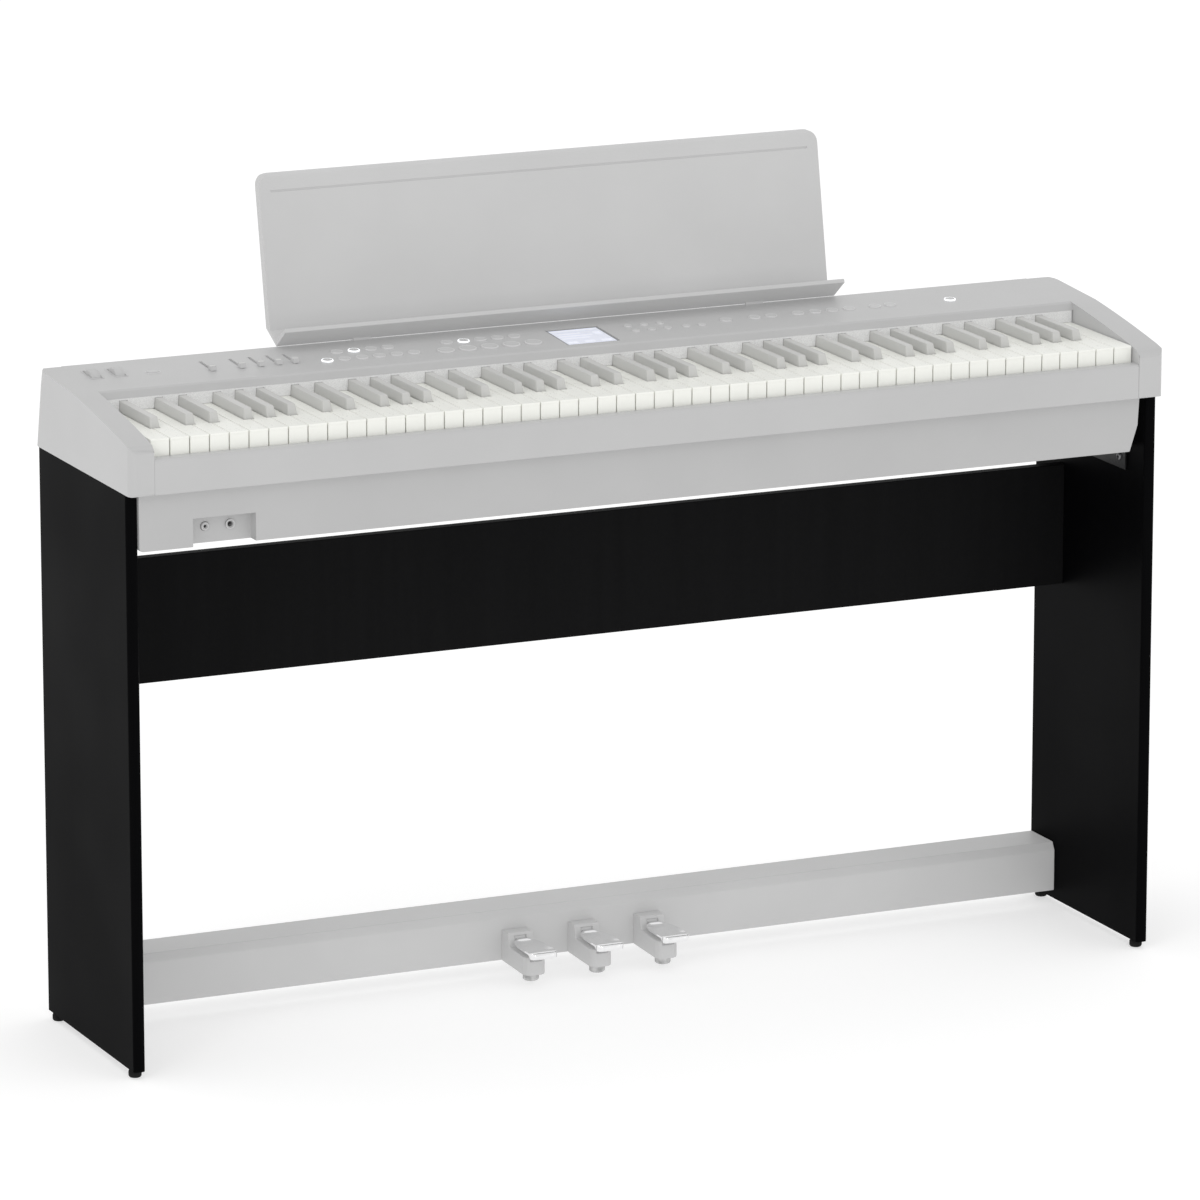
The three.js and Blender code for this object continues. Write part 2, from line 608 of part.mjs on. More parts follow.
function headphoneJacks() {
  const wallBack = CASE_FRONT_Y + RECESS_DEPTH + WALL;
  const bodyFront = wallBack + JOINT_GAP;
  const body = box(JACK_X[0] - 10, JACK_X[1] + 10, bodyFront, bodyFront + JACK_BODY,
    JACK_Z - 9, JACK_Z + 9);
  const front = CASE_FRONT_Y + RECESS_DEPTH - 1.5;
  const sleeves = JACK_X.map((x) => lengthwise(x, JACK_Z, front, bodyFront + 1,
    JACK_SLEEVE_RADIUS));
  const bores = [lengthwise(JACK_X[0], JACK_Z, front - 1, bodyFront + JACK_BODY - 3, 1.8),
    lengthwise(JACK_X[1], JACK_Z, front - 1, bodyFront + JACK_BODY - 2, 3.2)];
  return cut(joined(body, ...sleeves), bores);
}

function rearSockets() {
  const gap = JOINT_GAP;
  const plate = box(SOCKET_LEFT_X + gap, SOCKET_RIGHT_X - gap, CASE_REAR_Y - WALL - 22,
    CASE_REAR_Y - 1, SOCKET_BOTTOM_Z + gap, SOCKET_TOP_Z - gap);
  const middleZ = half(SOCKET_BOTTOM_Z + SOCKET_TOP_Z);
  const outside = CASE_REAR_Y + 1;
  const holes = [lengthwise(SOCKET_LEFT_X + 16, middleZ, outside - 18, outside, 4.2)];
  [60, 82].forEach((step) => {
    holes.push(lengthwise(SOCKET_LEFT_X + step, middleZ, outside - 20, outside, 3.2));
  });
  holes.push(box(SOCKET_LEFT_X + 30, SOCKET_LEFT_X + 43, outside - 14, outside,
    middleZ - 3, middleZ + 3));
  holes.push(box(SOCKET_LEFT_X + 102, SOCKET_LEFT_X + 134, outside - 14, outside,
    middleZ - 6, middleZ + 6));
  return cut(plate, holes);
}

// chassis that stands in the tray and carries the keys
const CHASSIS_PLATE_Z = CHEEK_BOTTOM_Z + 15.3;
const CHASSIS_PLATE = 4;
const CHASSIS_LEG = 4;
const CHASSIS_END_GAP = 2;

function keyChassis() {
  const low = CASE_BOTTOM_Z + WALL + JOINT_GAP;
  const plateTop = CHASSIS_PLATE_Z + CHASSIS_PLATE;
  const lipTop = WHITE_TOP_Z - WHITE_HEIGHT - 13;
  const postTop = WHITE_TOP_Z + BLACK_RISE - 3;
  const section = [
    [52, low],
    [70, low],
    [70, low + CHASSIS_LEG],
    [52 + CHASSIS_LEG, low + CHASSIS_LEG],
    [52 + CHASSIS_LEG, CHASSIS_PLATE_Z],
    [222, CHASSIS_PLATE_Z],
    [222, low + CHASSIS_LEG],
    [208, low + CHASSIS_LEG],
    [208, low],
    [222 + CHASSIS_LEG, low],
    [222 + CHASSIS_LEG, postTop],
    [217, postTop],
    [217, plateTop],
    [34, plateTop],
    [34, lipTop],
    [22, lipTop],
    [22, CHASSIS_PLATE_Z],
    [52, CHASSIS_PLATE_Z],
  ];
  const end = HALF_WIDTH - CASE_BOTTOM_INSET - WALL - CHASSIS_END_GAP;
  return alongX(section, -end, end);
}

function speaker(x) {
  const base = CASE_BOTTOM_Z + WALL + JOINT_GAP;
  const profile = [
    [0, 12], [13, 12], [18, 13], [42, 3.5], [44, 3.5], [44, 0], [SPEAKER_RADIUS, 0],
    [SPEAKER_RADIUS, 3], [46, 4], [26, 24], [26, 40], [0, 40],
  ].map(([radius, height]) => new THREE.Vector2(radius, height));
  const geometry = new THREE.LatheGeometry(profile, 24);
  geometry.rotateX(Math.PI / 2);
  return toGeometry(toManifold(geometry.translate(x, SPEAKER_Y, base)));
}

// ---- keys ------------------------------------------------------------------------------
const NOTE_NAMES = ["A", "B", "C", "D", "E", "F", "G"];
const BLACK_OFFSET = { A: 3.4, C: -1.4, D: 3.8, F: -2.2, G: 1.2 };
const OCTAVE_KEYS = 7;
const LOW_SET_KEYS = 9;
const KEY_SETS = 7;

function noteOf(index) {
  return NOTE_NAMES[index % OCTAVE_KEYS];
}

function hasBlackAfter(index) {
  return index >= 0 && index < WHITE_KEYS - 1 && noteOf(index) in BLACK_OFFSET;
}

function whiteLeft(index) {
  return KEYS_LEFT_X + index * KEY_PITCH;
}

function blackCentre(index) {
  return whiteLeft(index + 1) + BLACK_OFFSET[noteOf(index)];
}

// first key and one past the last key of each octave set; the ends take the odd keys
function keySetRange(set) {
  const first = set === 0 ? 0 : LOW_SET_KEYS + (set - 1) * OCTAVE_KEYS;
  const last = set === KEY_SETS - 1 ? WHITE_KEYS : LOW_SET_KEYS + set * OCTAVE_KEYS;
  return [first, last];
}

function whiteKeyPlan(index) {
  const reach = half(BLACK_WIDTH) + BLACK_SIDE_CLEARANCE;
  const x0 = whiteLeft(index) + half(KEY_GAP);
  const x1 = whiteLeft(index + 1) - half(KEY_GAP);
  const tail0 = hasBlackAfter(index - 1) ? blackCentre(index - 1) + reach : x0;
  const tail1 = hasBlackAfter(index) ? blackCentre(index) - reach : x1;
  const notchY = BLACK_FRONT_Y - 1.5;
  const rearY = KEY_SPINE_Y + 2;
  const points = [[x0, KEY_FRONT_Y], [x1, KEY_FRONT_Y]];
  if (tail1 !== x1) {
    points.push([x1, notchY], [tail1, notchY]);
  }
  points.push([tail1, rearY], [tail0, rearY]);
  if (tail0 !== x0) {
    points.push([tail0, notchY], [x0, notchY]);
  }
  return points;
}

function whiteKeySet(set) {
  const [first, last] = keySetRange(set);
  const bottom = WHITE_TOP_Z - WHITE_HEIGHT;
  const pieces = [box(whiteLeft(first) + half(KEY_GAP), whiteLeft(last) - half(KEY_GAP),
    KEY_SPINE_Y, KEY_SPINE_Y + KEY_SPINE_DEPTH, bottom, WHITE_TOP_Z)];
  for (let index = first; index < last; index += 1) {
    pieces.push(alongZ(whiteKeyPlan(index), bottom, WHITE_TOP_Z));
  }
  return joined(...pieces);
}

function blackKey(x) {
  const wide = half(BLACK_WIDTH);
  const narrow = half(BLACK_TOP_WIDTH);
  const low = WHITE_TOP_Z - BLACK_DROP;
  const high = WHITE_TOP_Z + BLACK_RISE;
  const section = [[x - wide, low], [x + wide, low], [x + wide, WHITE_TOP_Z],
    [x + narrow, high], [x - narrow, high], [x - wide, WHITE_TOP_Z]];
  const rear = KEY_SPINE_Y + 2;
  const side = [
    [BLACK_FRONT_Y, low],
    [KEY_SPINE_Y - 7, low],
    [KEY_SPINE_Y - 7, WHITE_TOP_Z + BLACK_SPINE_CLEARANCE],
    [rear, WHITE_TOP_Z + BLACK_SPINE_CLEARANCE],
    [rear, high],
    [BLACK_FRONT_Y + BLACK_FRONT_SLANT, high],
    [BLACK_FRONT_Y, WHITE_TOP_Z],
  ];
  return common(alongY(section, BLACK_FRONT_Y - 1, rear + 1),
    alongX(side, x - wide - 1, x + wide + 1));
}

function blackKeySet(set) {
  const [first, last] = keySetRange(set);
  const centres = [];
  for (let index = first; index < last; index += 1) {
    if (hasBlackAfter(index)) {
      centres.push(blackCentre(index));
    }
  }
  const wide = half(BLACK_TOP_WIDTH);
  const spine = box(centres[0] - wide, centres[centres.length - 1] + wide, KEY_SPINE_Y,
    KEY_SPINE_Y + KEY_SPINE_DEPTH, WHITE_TOP_Z + BLACK_SPINE_CLEARANCE,
    WHITE_TOP_Z + BLACK_RISE);
  return joined(spine, ...centres.map(blackKey));
}

// ---- top panel and controls ------------------------------------------------------------
const RHYTHM_ROWS = [
  { y: 211, xs: [-322.6, -301.1, -279.6, -258.1, -236.6, -215.1], radius: BUTTON_RADIUS },
  { y: 241.5, xs: [-298.4, -277.3, -256.2, -235.1], radius: BUTTON_RADIUS },
];
const TONE_ROWS = [
  { y: 207.5, xs: [-177.1, -149.7, -122.3, -94.9, -67.5], radius: LARGE_BUTTON_RADIUS },
  { y: 239, xs: [-162.8, -141.5, -120.2, -98.9, -77.6], radius: BUTTON_RADIUS },
];
const MENU_ROWS = [
  { y: 216, xs: [66.3, 86.8, 107.3, 131, 151], radius: SMALL_BUTTON_RADIUS },
  { y: 238, xs: [66.3, 86.8, 107.3], radius: SMALL_BUTTON_RADIUS },
];
const FUNCTION_ROWS = [
  { y: 226.5, xs: [186.8, 223.6, 245.5, 280.3, 302.5, 324.7, 346.9, 380.3, 400.5],
    radius: BUTTON_RADIUS },
];
const REGISTRATION_ROWS = [{ y: 226.5, xs: [479.5], radius: BUTTON_RADIUS }];
const BUTTON_SETS = [
  ["rhythm_buttons", RHYTHM_ROWS],
  ["tone_buttons", TONE_ROWS],
  ["menu_buttons", MENU_ROWS],
  ["function_buttons", FUNCTION_ROWS],
  ["registration_button", REGISTRATION_ROWS],
].map(([name, rows]) => [name, rows.map((row) => ({
  ...row, xs: row.xs.map((x) => x * SPREAD),
}))]);

// caps of one set share a thin web under the deck
function buttonSet(rows) {
  const webTop = -WEB_DEPTH;
  const pieces = [];
  for (const { y, xs, radius } of rows) {
    const webHalf = half(WEB_WIDTH);
    pieces.push(box(xs[0] - radius - 1, xs[xs.length - 1] + radius + 1, y - webHalf,
      y + webHalf, webTop - WEB_THICKNESS, webTop));
    xs.forEach((x) => pieces.push(upright(x, y, webTop - 1, BUTTON_RISE, radius)));
  }
  if (rows.length > 1) {
    const tieX = rows[1].xs[1];
    pieces.push(box(tieX - 4, tieX + 4, rows[0].y, rows[1].y, webTop - WEB_THICKNESS, webTop));
  }
  return onDeck(joined(...pieces));
}

function buttonHoles() {
  const holes = [];
  for (const [, rows] of BUTTON_SETS) {
    for (const { y, xs, radius } of rows) {
      xs.forEach((x) => holes.push(upright(x, y, -WALL - 2, 2, radius + BUTTON_CLEARANCE)));
    }
  }
  return holes;
}

const POWER_LENGTH = 14;
const POWER_DEPTH = 8;

function pill(x, y, length, depth, z0, z1) {
  const radius = half(depth) - 0.01;
  return alongZ(roundedOutline(x - half(length), x + half(length), y - half(depth),
    y + half(depth), [radius, radius, radius, radius]), z0, z1);
}

function powerButton() {
  const cap = pill(POWER_X, POWER_Y, POWER_LENGTH, POWER_DEPTH, -WEB_DEPTH - 1, BUTTON_RISE);
  const skirt = box(POWER_X - 10, POWER_X + 10, POWER_Y - 6, POWER_Y + 6,
    -WEB_DEPTH - WEB_THICKNESS, -WEB_DEPTH);
  return onDeck(joined(cap, skirt));
}

function wheelSlot(x) {
  const wide = half(WHEEL_WIDTH) + 0.8;
  const reach = Math.sqrt((WHEEL_RADIUS + 1) ** 2 - (WHEEL_DEPTH - WALL) ** 2) + 1;
  return box(x - wide, x + wide, WHEEL_Y - reach, WHEEL_Y + reach, -WALL - 2, 2);
}

// thumb wheel with a grip notch in the middle of its rim
function thumbWheel(x) {
  const wide = half(WHEEL_WIDTH);
  const disc = new THREE.CylinderGeometry(WHEEL_RADIUS, WHEEL_RADIUS, WHEEL_WIDTH, 32);
  disc.rotateZ(Math.PI / 2);
  disc.translate(x, WHEEL_Y, -WHEEL_DEPTH);
  const notches = [-7, 0, 7].map((step) => {
    const groove = new THREE.CylinderGeometry(1.6, 1.6, WHEEL_WIDTH + 2, 10);
    groove.rotateZ(Math.PI / 2);
    const angle = step / WHEEL_RADIUS;
    const rim = WHEEL_RADIUS + 0.4;
    return groove.translate(x, WHEEL_Y + rim * Math.sin(angle),
      rim * Math.cos(angle) - WHEEL_DEPTH);
  });
  const axle = new THREE.CylinderGeometry(3, 3, WHEEL_WIDTH + 5, ROUND_SEGMENTS);
  axle.rotateZ(Math.PI / 2);
  axle.translate(x, WHEEL_Y, -WHEEL_DEPTH);
  return onDeck(joined(cut(disc, notches), axle));
}

const FADER_STEM_WIDTH = 1.8;
const FADER_SLOT_WIDTH = 3.4;
const FADER_KNOB_GAP = 0.6;

function faderSlot(x) {
  const wide = half(FADER_SLOT_WIDTH);
  return box(x - wide, x + wide, FADER_FRONT_Y, FADER_FRONT_Y + FADER_SLOT, -WALL - 2, 2);
}

function faderKnob(x) {
  const wide = half(FADER_KNOB_WIDTH);
  const y0 = FADER_FRONT_Y + 1;
  const y1 = y0 + FADER_KNOB_DEPTH;
  const grip = [[y0, FADER_KNOB_GAP], [y1, FADER_KNOB_GAP], [y1 - 1.2, 6.5],
    [half(y0 + y1) + 1.5, 5.4], [half(y0 + y1) - 1.5, 5.4], [y0 + 1.2, 6.5]];
  const knob = alongX(grip, x - wide, x + wide);
  const stem = box(x - half(FADER_STEM_WIDTH), x + half(FADER_STEM_WIDTH),
    half(y0 + y1) - 2.5, half(y0 + y1) + 2.5, -8.4, 2);
  return onDeck(joined(knob, stem));
}

const DISPLAY_FIT = 0.4;
const DISPLAY_BODY = 7;

function displayModule() {
  const wide = half(DISPLAY_WIDTH);
  const deep = half(DISPLAY_DEPTH);
  return onDeck(box(DISPLAY_X - wide, DISPLAY_X + wide, DISPLAY_Y - deep, DISPLAY_Y + deep,
    -DISPLAY_BODY, -0.5));
}

const BOARD_LEFT_X = -340 * SPREAD;
const BOARD_RIGHT_X = 500 * SPREAD;
const BOARD_TOP = -9.4;
const BOARD_THICKNESS = 1.6;
const BOSS_X = [-330, -190, -50, 50, 175, 440, 492].map((x) => x * SPREAD);
const BOSS_Y = 262;

function mainBoard() {
  return onDeck(box(BOARD_LEFT_X, BOARD_RIGHT_X, CREASE_Y + 14, BOSS_Y + 8,
    BOARD_TOP - BOARD_THICKNESS, BOARD_TOP));
}

const REST_PEG_WIDTH = 22;
const REST_PEG_THICK = 3.6;
const REST_PEG_Y = DECK_REAR_Y - 4;
const REST_SLOT_GAP = 0.6;
const REST_PEG_BOTTOM_Z = DECK_REAR_Z - 16.2;

function restSlots() {
  const wide = half(REST_PEG_WIDTH) + REST_SLOT_GAP;
  const deep = half(REST_PEG_THICK) + REST_SLOT_GAP;
  return [-REST_PEG_X, REST_PEG_X].map((x) => box(x - wide, x + wide, REST_PEG_Y - deep,
    REST_PEG_Y + deep, deckZ(REST_PEG_Y) - WALL - 3, deckZ(REST_PEG_Y) + 3));
}

function topPanelSection() {
  const innerZ = (y) => deckZ(y) - WALL;
  const rearInner = CABINET_DEPTH - WALL;
  return [
    [FALL_BOTTOM_Y, FALL_BOTTOM_Z],
    [FALL_BOTTOM_Y + WALL, FALL_BOTTOM_Z],
    [CREASE_Y + 2, innerZ(CREASE_Y + 2)],
    [DECK_REAR_Y - 1, innerZ(DECK_REAR_Y - 1)],
    [rearInner, DECK_REAR_Z - 7],
    [rearInner, CHEEK_BOTTOM_Z + WALL],
    [CASE_REAR_Y + 0.4, CHEEK_BOTTOM_Z + WALL],
    [CASE_REAR_Y + 0.4, CHEEK_BOTTOM_Z],
    [CABINET_DEPTH, CHEEK_BOTTOM_Z],
    [CABINET_DEPTH, DECK_REAR_Z - 8],
    [CABINET_DEPTH - 1.5, DECK_REAR_Z - 4],
    [DECK_REAR_Y + 1, DECK_REAR_Z - 0.8],
    [DECK_REAR_Y - 4, deckZ(DECK_REAR_Y - 4)],
    [CREASE_Y + 1.5, deckZ(CREASE_Y + 1.5)],
    [CREASE_Y - 1.5, CREASE_Z - 1.6],
  ];
}

function topPanel() {
  const shell = alongX(topPanelSection(), CHEEK_LEFT_X + JOINT_GAP,
    CHEEK_RIGHT_X - JOINT_GAP);
  const bosses = BOSS_X.map((x) => onDeck(upright(x, BOSS_Y, BOARD_TOP + JOINT_GAP, -1, 3,
    3, 8)));
  const wide = half(DISPLAY_WIDTH) + DISPLAY_FIT;
  const deep = half(DISPLAY_DEPTH) + DISPLAY_FIT;
  const window = box(DISPLAY_X - wide, DISPLAY_X + wide, DISPLAY_Y - deep, DISPLAY_Y + deep,
    -WALL - 2, 2);
  const fit = 2 * BUTTON_CLEARANCE;
  const power = pill(POWER_X, POWER_Y, POWER_LENGTH + fit, POWER_DEPTH + fit, -WALL - 2, 2);
  const holes = [window, power].concat(buttonHoles(), WHEEL_X.map(wheelSlot),
    FADER_X.map(faderSlot)).map(onDeck);
  return cut(joined(shell, ...bosses), holes.concat(restSlots()));
}

// ---- music rest ------------------------------------------------------------------------
const REST_REAR_TOP = [OVERALL_DEPTH, OVERALL_HEIGHT];
const REST_REAR_BEND = [OVERALL_DEPTH - 32, DECK_REAR_Z + 15.8];
const REST_SEAT = [DECK_REAR_Y - 2.8, DECK_REAR_Z + 0.25];
const REST_LIP = [DECK_REAR_Y - 31, DECK_REAR_Z + 21.4];

function unit(from, to) {
  const length = Math.hypot(to[0] - from[0], to[1] - from[1]);
  return [(to[0] - from[0]) / length, (to[1] - from[1]) / length];
}

function crossing(p, d, q, e) {
  const det = d[0] * e[1] - d[1] * e[0];
  const t = ((q[0] - p[0]) * e[1] - (q[1] - p[1]) * e[0]) / det;
  return [p[0] + t * d[0], p[1] + t * d[1]];
}

function restSection() {
  const back = unit(REST_REAR_BEND, REST_REAR_TOP);
  const under = unit(REST_SEAT, REST_REAR_BEND);
  const shelf = unit(REST_SEAT, REST_LIP);
  const backFace = [REST_REAR_BEND[0] - back[1] * REST_THICKNESS,
    REST_REAR_BEND[1] + back[0] * REST_THICKNESS];
  const underFace = [REST_SEAT[0] - under[1] * REST_PLATE, REST_SEAT[1] + under[0] * REST_PLATE];
  const shelfFace = [REST_SEAT[0] + shelf[1] * REST_PLATE, REST_SEAT[1] - shelf[0] * REST_PLATE];
  const lipInner = [REST_LIP[0] + shelf[1] * REST_PLATE, REST_LIP[1] - shelf[0] * REST_PLATE];
  const top = REST_REAR_TOP[1];
  const topInner = crossing(backFace, back, [0, top], [1, 0]);
  return [
    REST_SEAT,
    REST_REAR_BEND,
    [REST_REAR_TOP[0], top - 2.5],
    [REST_REAR_TOP[0] - 3, top],
    [topInner[0] + 2.5, top],
    [topInner[0] - 0.4, top - 2.5],
    crossing(backFace, back, underFace, under),
    crossing(underFace, under, shelfFace, shelf),
    lipInner,
    [lipInner[0] - 1.6, lipInner[1] - 0.4],
    REST_LIP,
  ];
}

function restFront() {
  const low = REST_SEAT[1] - 30;
  const outline = roundedOutline(-REST_HALF_WIDTH, REST_HALF_WIDTH, low, OVERALL_HEIGHT,
    [1, 1, REST_CORNER, REST_CORNER], 6);
  return alongY(outline, REST_LIP[0] - 20, OVERALL_DEPTH + 5);
}

const REST_GROOVE_DROP = 20;
const REST_GROOVE_WIDTH = 2.4;
const REST_GROOVE_DEPTH = 1.6;
const REST_GROOVE_INSET = 14;

function restGroove() {
  const back = unit(REST_REAR_BEND, REST_REAR_TOP);
  const reach = REST_HALF_WIDTH - REST_GROOVE_INSET;
  const topFront = [REST_REAR_TOP[0] - REST_THICKNESS, REST_REAR_TOP[1]];
  const middle = [topFront[0] - back[0] * REST_GROOVE_DROP - 0.3,
    topFront[1] - back[1] * REST_GROOVE_DROP];
  const deep = REST_GROOVE_DEPTH;
  const tall = half(REST_GROOVE_WIDTH);
  const groove = box(-reach, reach, -3, deep, -tall, tall);
  groove.rotateX(-Math.atan2(back[0], back[1]));
  return groove.translate(0, middle[0], middle[1]);
}

function musicRest() {
  const sheet = common(alongX(restSection(), -REST_HALF_WIDTH - 1, REST_HALF_WIDTH + 1),
    restFront());
  const wide = half(REST_PEG_WIDTH);
  const deep = half(REST_PEG_THICK);
  const pegs = [-REST_PEG_X, REST_PEG_X].map((x) => box(x - wide, x + wide,
    REST_PEG_Y - deep, REST_PEG_Y + deep, REST_PEG_BOTTOM_Z, REST_SEAT[1] + 3));
  return cut(joined(sheet, ...pegs), [restGroove()]);
}

// ---- assembly --------------------------------------------------------------------------
function standNodes() {
  const nodes = [];
  for (const [word, side] of [["left", -1], ["right", 1]]) {
    nodes.push(node(`${word}_side_panel`, sidePanel(side), STAND_BLACK));
    nodes.push(node(`${word}_front_glide`, glide(side, GLIDE_Y[0]), RUBBER));
    nodes.push(node(`${word}_rear_glide`, glide(side, GLIDE_Y[1]), RUBBER));
    nodes.push(node(`${word}_bracket`, bracket(side), STEEL));
  }
  nodes.push(node("back_panel", backPanel(), STAND_BLACK));
  return nodes;
}

function pedalNodes() {
  const nodes = [
    node("pedal_beam", pedalBeam(), PEDAL_GREY),
    node("pedal_beam_cover", beamCover(), PEDAL_GREY),
  ];
  ["soft", "sostenuto", "damper"].forEach((word, i) => {
    nodes.push(node(`${word}_pedal_arm`, pedalArm(PEDAL_X[i]), PEDAL_GREY));
    nodes.push(node(`${word}_pedal`, pedalLever(PEDAL_X[i]), CHROME));
    nodes.push(node(`${word}_pedal_foot`, adjusterFoot(PEDAL_X[i]), RUBBER));
  });
  return nodes;
}

function caseNodes() {
  return [
    node("lower_case", lowerCase(), LOWER_GREY),
    node("key_chassis", keyChassis(), STEEL),
    node("front_rail", frontRail(), CASE_GREY),
    node("left_cheek", cheek(-1), CASE_GREY),
    node("right_cheek", cheek(1), CASE_GREY),
    node("top_panel", topPanel(), CASE_GREY),
    node("main_board", mainBoard(), BOARD_GREEN),
    node("left_speaker", speaker(-SPEAKER_X), SOCKET_BLACK),
    node("right_speaker", speaker(SPEAKER_X), SOCKET_BLACK),
    node("headphone_jacks", headphoneJacks(), SOCKET_BLACK),
    node("rear_sockets", rearSockets(), SOCKET_BLACK),
    node("music_rest", musicRest(), CASE_GREY),
  ];
}

function keyNodes() {
  const nodes = [];
  for (let set = 0; set < KEY_SETS; set += 1) {
    nodes.push(node(`white_keys_${set + 1}`, whiteKeySet(set), KEY_WHITE));
    nodes.push(node(`black_keys_${set + 1}`, blackKeySet(set), KEY_DARK));
  }
  return nodes;
}

function controlNodes() {
  const nodes = BUTTON_SETS.map(([name, rows]) => node(name, buttonSet(rows), CASE_GREY));
  nodes.push(node("power_button", powerButton(), CASE_GREY));
  nodes.push(node("display", displayModule(), GLASS));
  nodes.push(node("pitch_wheel", thumbWheel(WHEEL_X[0]), CASE_GREY));
  nodes.push(node("modulation_wheel", thumbWheel(WHEEL_X[1]), CASE_GREY));
  FADER_X.forEach((x, i) => nodes.push(node(`slider_${i + 1}`, faderKnob(x), LOWER_GREY)));
  return nodes;
}

const piano = new THREE.Group();
piano.name = "digital_piano_on_stand";
piano.add(...standNodes(), ...pedalNodes(), ...caseNodes(), ...keyNodes(), ...controlNodes());
piano.position.y = -half(OVERALL_DEPTH);

export default piano;
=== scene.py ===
import json
import math

import bmesh
import bpy
from bpy.props import FloatProperty, FloatVectorProperty, IntProperty, PointerProperty
from bpy.types import Operator, Panel, PropertyGroup
from mathutils import Matrix, Vector


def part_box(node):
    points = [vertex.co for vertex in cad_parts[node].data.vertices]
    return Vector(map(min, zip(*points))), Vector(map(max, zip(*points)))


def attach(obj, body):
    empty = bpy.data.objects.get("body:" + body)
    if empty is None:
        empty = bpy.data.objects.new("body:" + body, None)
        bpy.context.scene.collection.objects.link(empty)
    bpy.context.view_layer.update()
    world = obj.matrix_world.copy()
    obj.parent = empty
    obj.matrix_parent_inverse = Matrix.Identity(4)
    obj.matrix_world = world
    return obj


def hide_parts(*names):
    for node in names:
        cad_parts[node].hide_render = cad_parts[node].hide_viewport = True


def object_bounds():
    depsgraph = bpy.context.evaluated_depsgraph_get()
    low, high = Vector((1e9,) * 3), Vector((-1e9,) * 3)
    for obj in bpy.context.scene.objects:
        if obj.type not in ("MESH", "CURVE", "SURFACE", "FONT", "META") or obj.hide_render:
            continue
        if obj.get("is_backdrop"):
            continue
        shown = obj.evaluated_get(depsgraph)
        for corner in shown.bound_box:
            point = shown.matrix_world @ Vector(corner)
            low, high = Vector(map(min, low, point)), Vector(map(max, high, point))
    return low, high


bl_info = {
    "name": "Digital piano on stand",
    "version": (1, 0, 0),
    "blender": (4, 5, 0),
    "location": "3D View > Sidebar > Piano",
    "description": "Dresses the packed digital piano with its finished pieces, finishes and studio",
    "category": "Object",
}

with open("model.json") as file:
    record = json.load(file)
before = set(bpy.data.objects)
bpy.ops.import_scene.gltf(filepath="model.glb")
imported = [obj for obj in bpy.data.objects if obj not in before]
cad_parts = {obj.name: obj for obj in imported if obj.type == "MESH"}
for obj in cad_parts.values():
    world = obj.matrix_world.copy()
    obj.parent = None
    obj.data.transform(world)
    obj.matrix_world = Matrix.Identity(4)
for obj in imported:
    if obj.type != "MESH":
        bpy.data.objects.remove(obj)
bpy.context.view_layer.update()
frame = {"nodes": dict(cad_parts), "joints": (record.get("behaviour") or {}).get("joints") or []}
NODES = frame["nodes"]
JOINTS = {joint["name"]: joint for joint in frame["joints"]}
MM = 0.001
FLAT_ANGLE = math.radians(0.6)

# Share of its own colour that a finish gives off. The plastics and the felt do not glow
# in life: this only lifts their shaded faces to an even grey. Set to 0 to light them truly.
CASE_GLOW = 0.25
REST_GLOW = 0.3
FELT_GLOW = 0.2
FLOOR_GLOW = 0.8


# ---- what a user would change ------------------------------------------------------------


def colour_prop(name, description, default):
    return FloatVectorProperty(name=name, description=description, default=default,
                               subtype="COLOR", size=3, min=0.0, max=1.0)


def length_prop(name, description, default_mm):
    return FloatProperty(name=name, description=description, default=default_mm * MM,
                         min=0.0, unit="LENGTH", subtype="DISTANCE")


class PianoColours(PropertyGroup):
    case_grey: colour_prop("Case grey", "Colour of the upper case", (0.395, 0.395, 0.395))
    lower_grey: colour_prop("Lower case grey", "Colour of the lower case", (0.375, 0.375, 0.375))
    # The music rest and pedal unit greys are set above the case grey to offset the shade under the
    # rest's shelf and under the keyboard: partly painted light
    rest_grey: colour_prop("Music rest grey", "Colour of the music rest", (0.44, 0.44, 0.44))
    beam_grey: colour_prop("Pedal unit grey", "Colour of the pedal unit", (0.45, 0.45, 0.45))
    stand_black: colour_prop("Stand black", "Colour of the side boards",
                             (0.0020, 0.0020, 0.0023))
    back_black: colour_prop("Back panel black", "Colour of the back board",
                            (0.0075, 0.0075, 0.0078))
    key_white: colour_prop("White keys", "Colour of the white keys", (0.91, 0.915, 0.865))
    key_grey: colour_prop("Sharps", "Colour of the sharps", (0.60, 0.60, 0.585))
    # The felt grey is set light to offset the shade in the gap over the keys, so it is partly
    # painted light
    felt_grey: colour_prop("Key felt", "Colour of the felt behind the keys", (0.66, 0.66, 0.66))
    chrome: colour_prop("Pedal metal", "Colour of the pedals", (0.92, 0.92, 0.925))
    steel: colour_prop("Bracket steel", "Colour of the painted brackets", (0.004, 0.004, 0.0045))
    ring_grey: colour_prop("Button ring", "Colour of an unlit ring", (0.68, 0.68, 0.68))
    lamp: colour_prop("Lit ring", "Colour of a lit ring", (0.95, 0.98, 1.0))
    screen: colour_prop("Screen", "Colour of the lit screen", (0.66, 0.68, 0.76))
    floor: colour_prop("Floor", "Colour of the floor", (0.62, 0.62, 0.62))


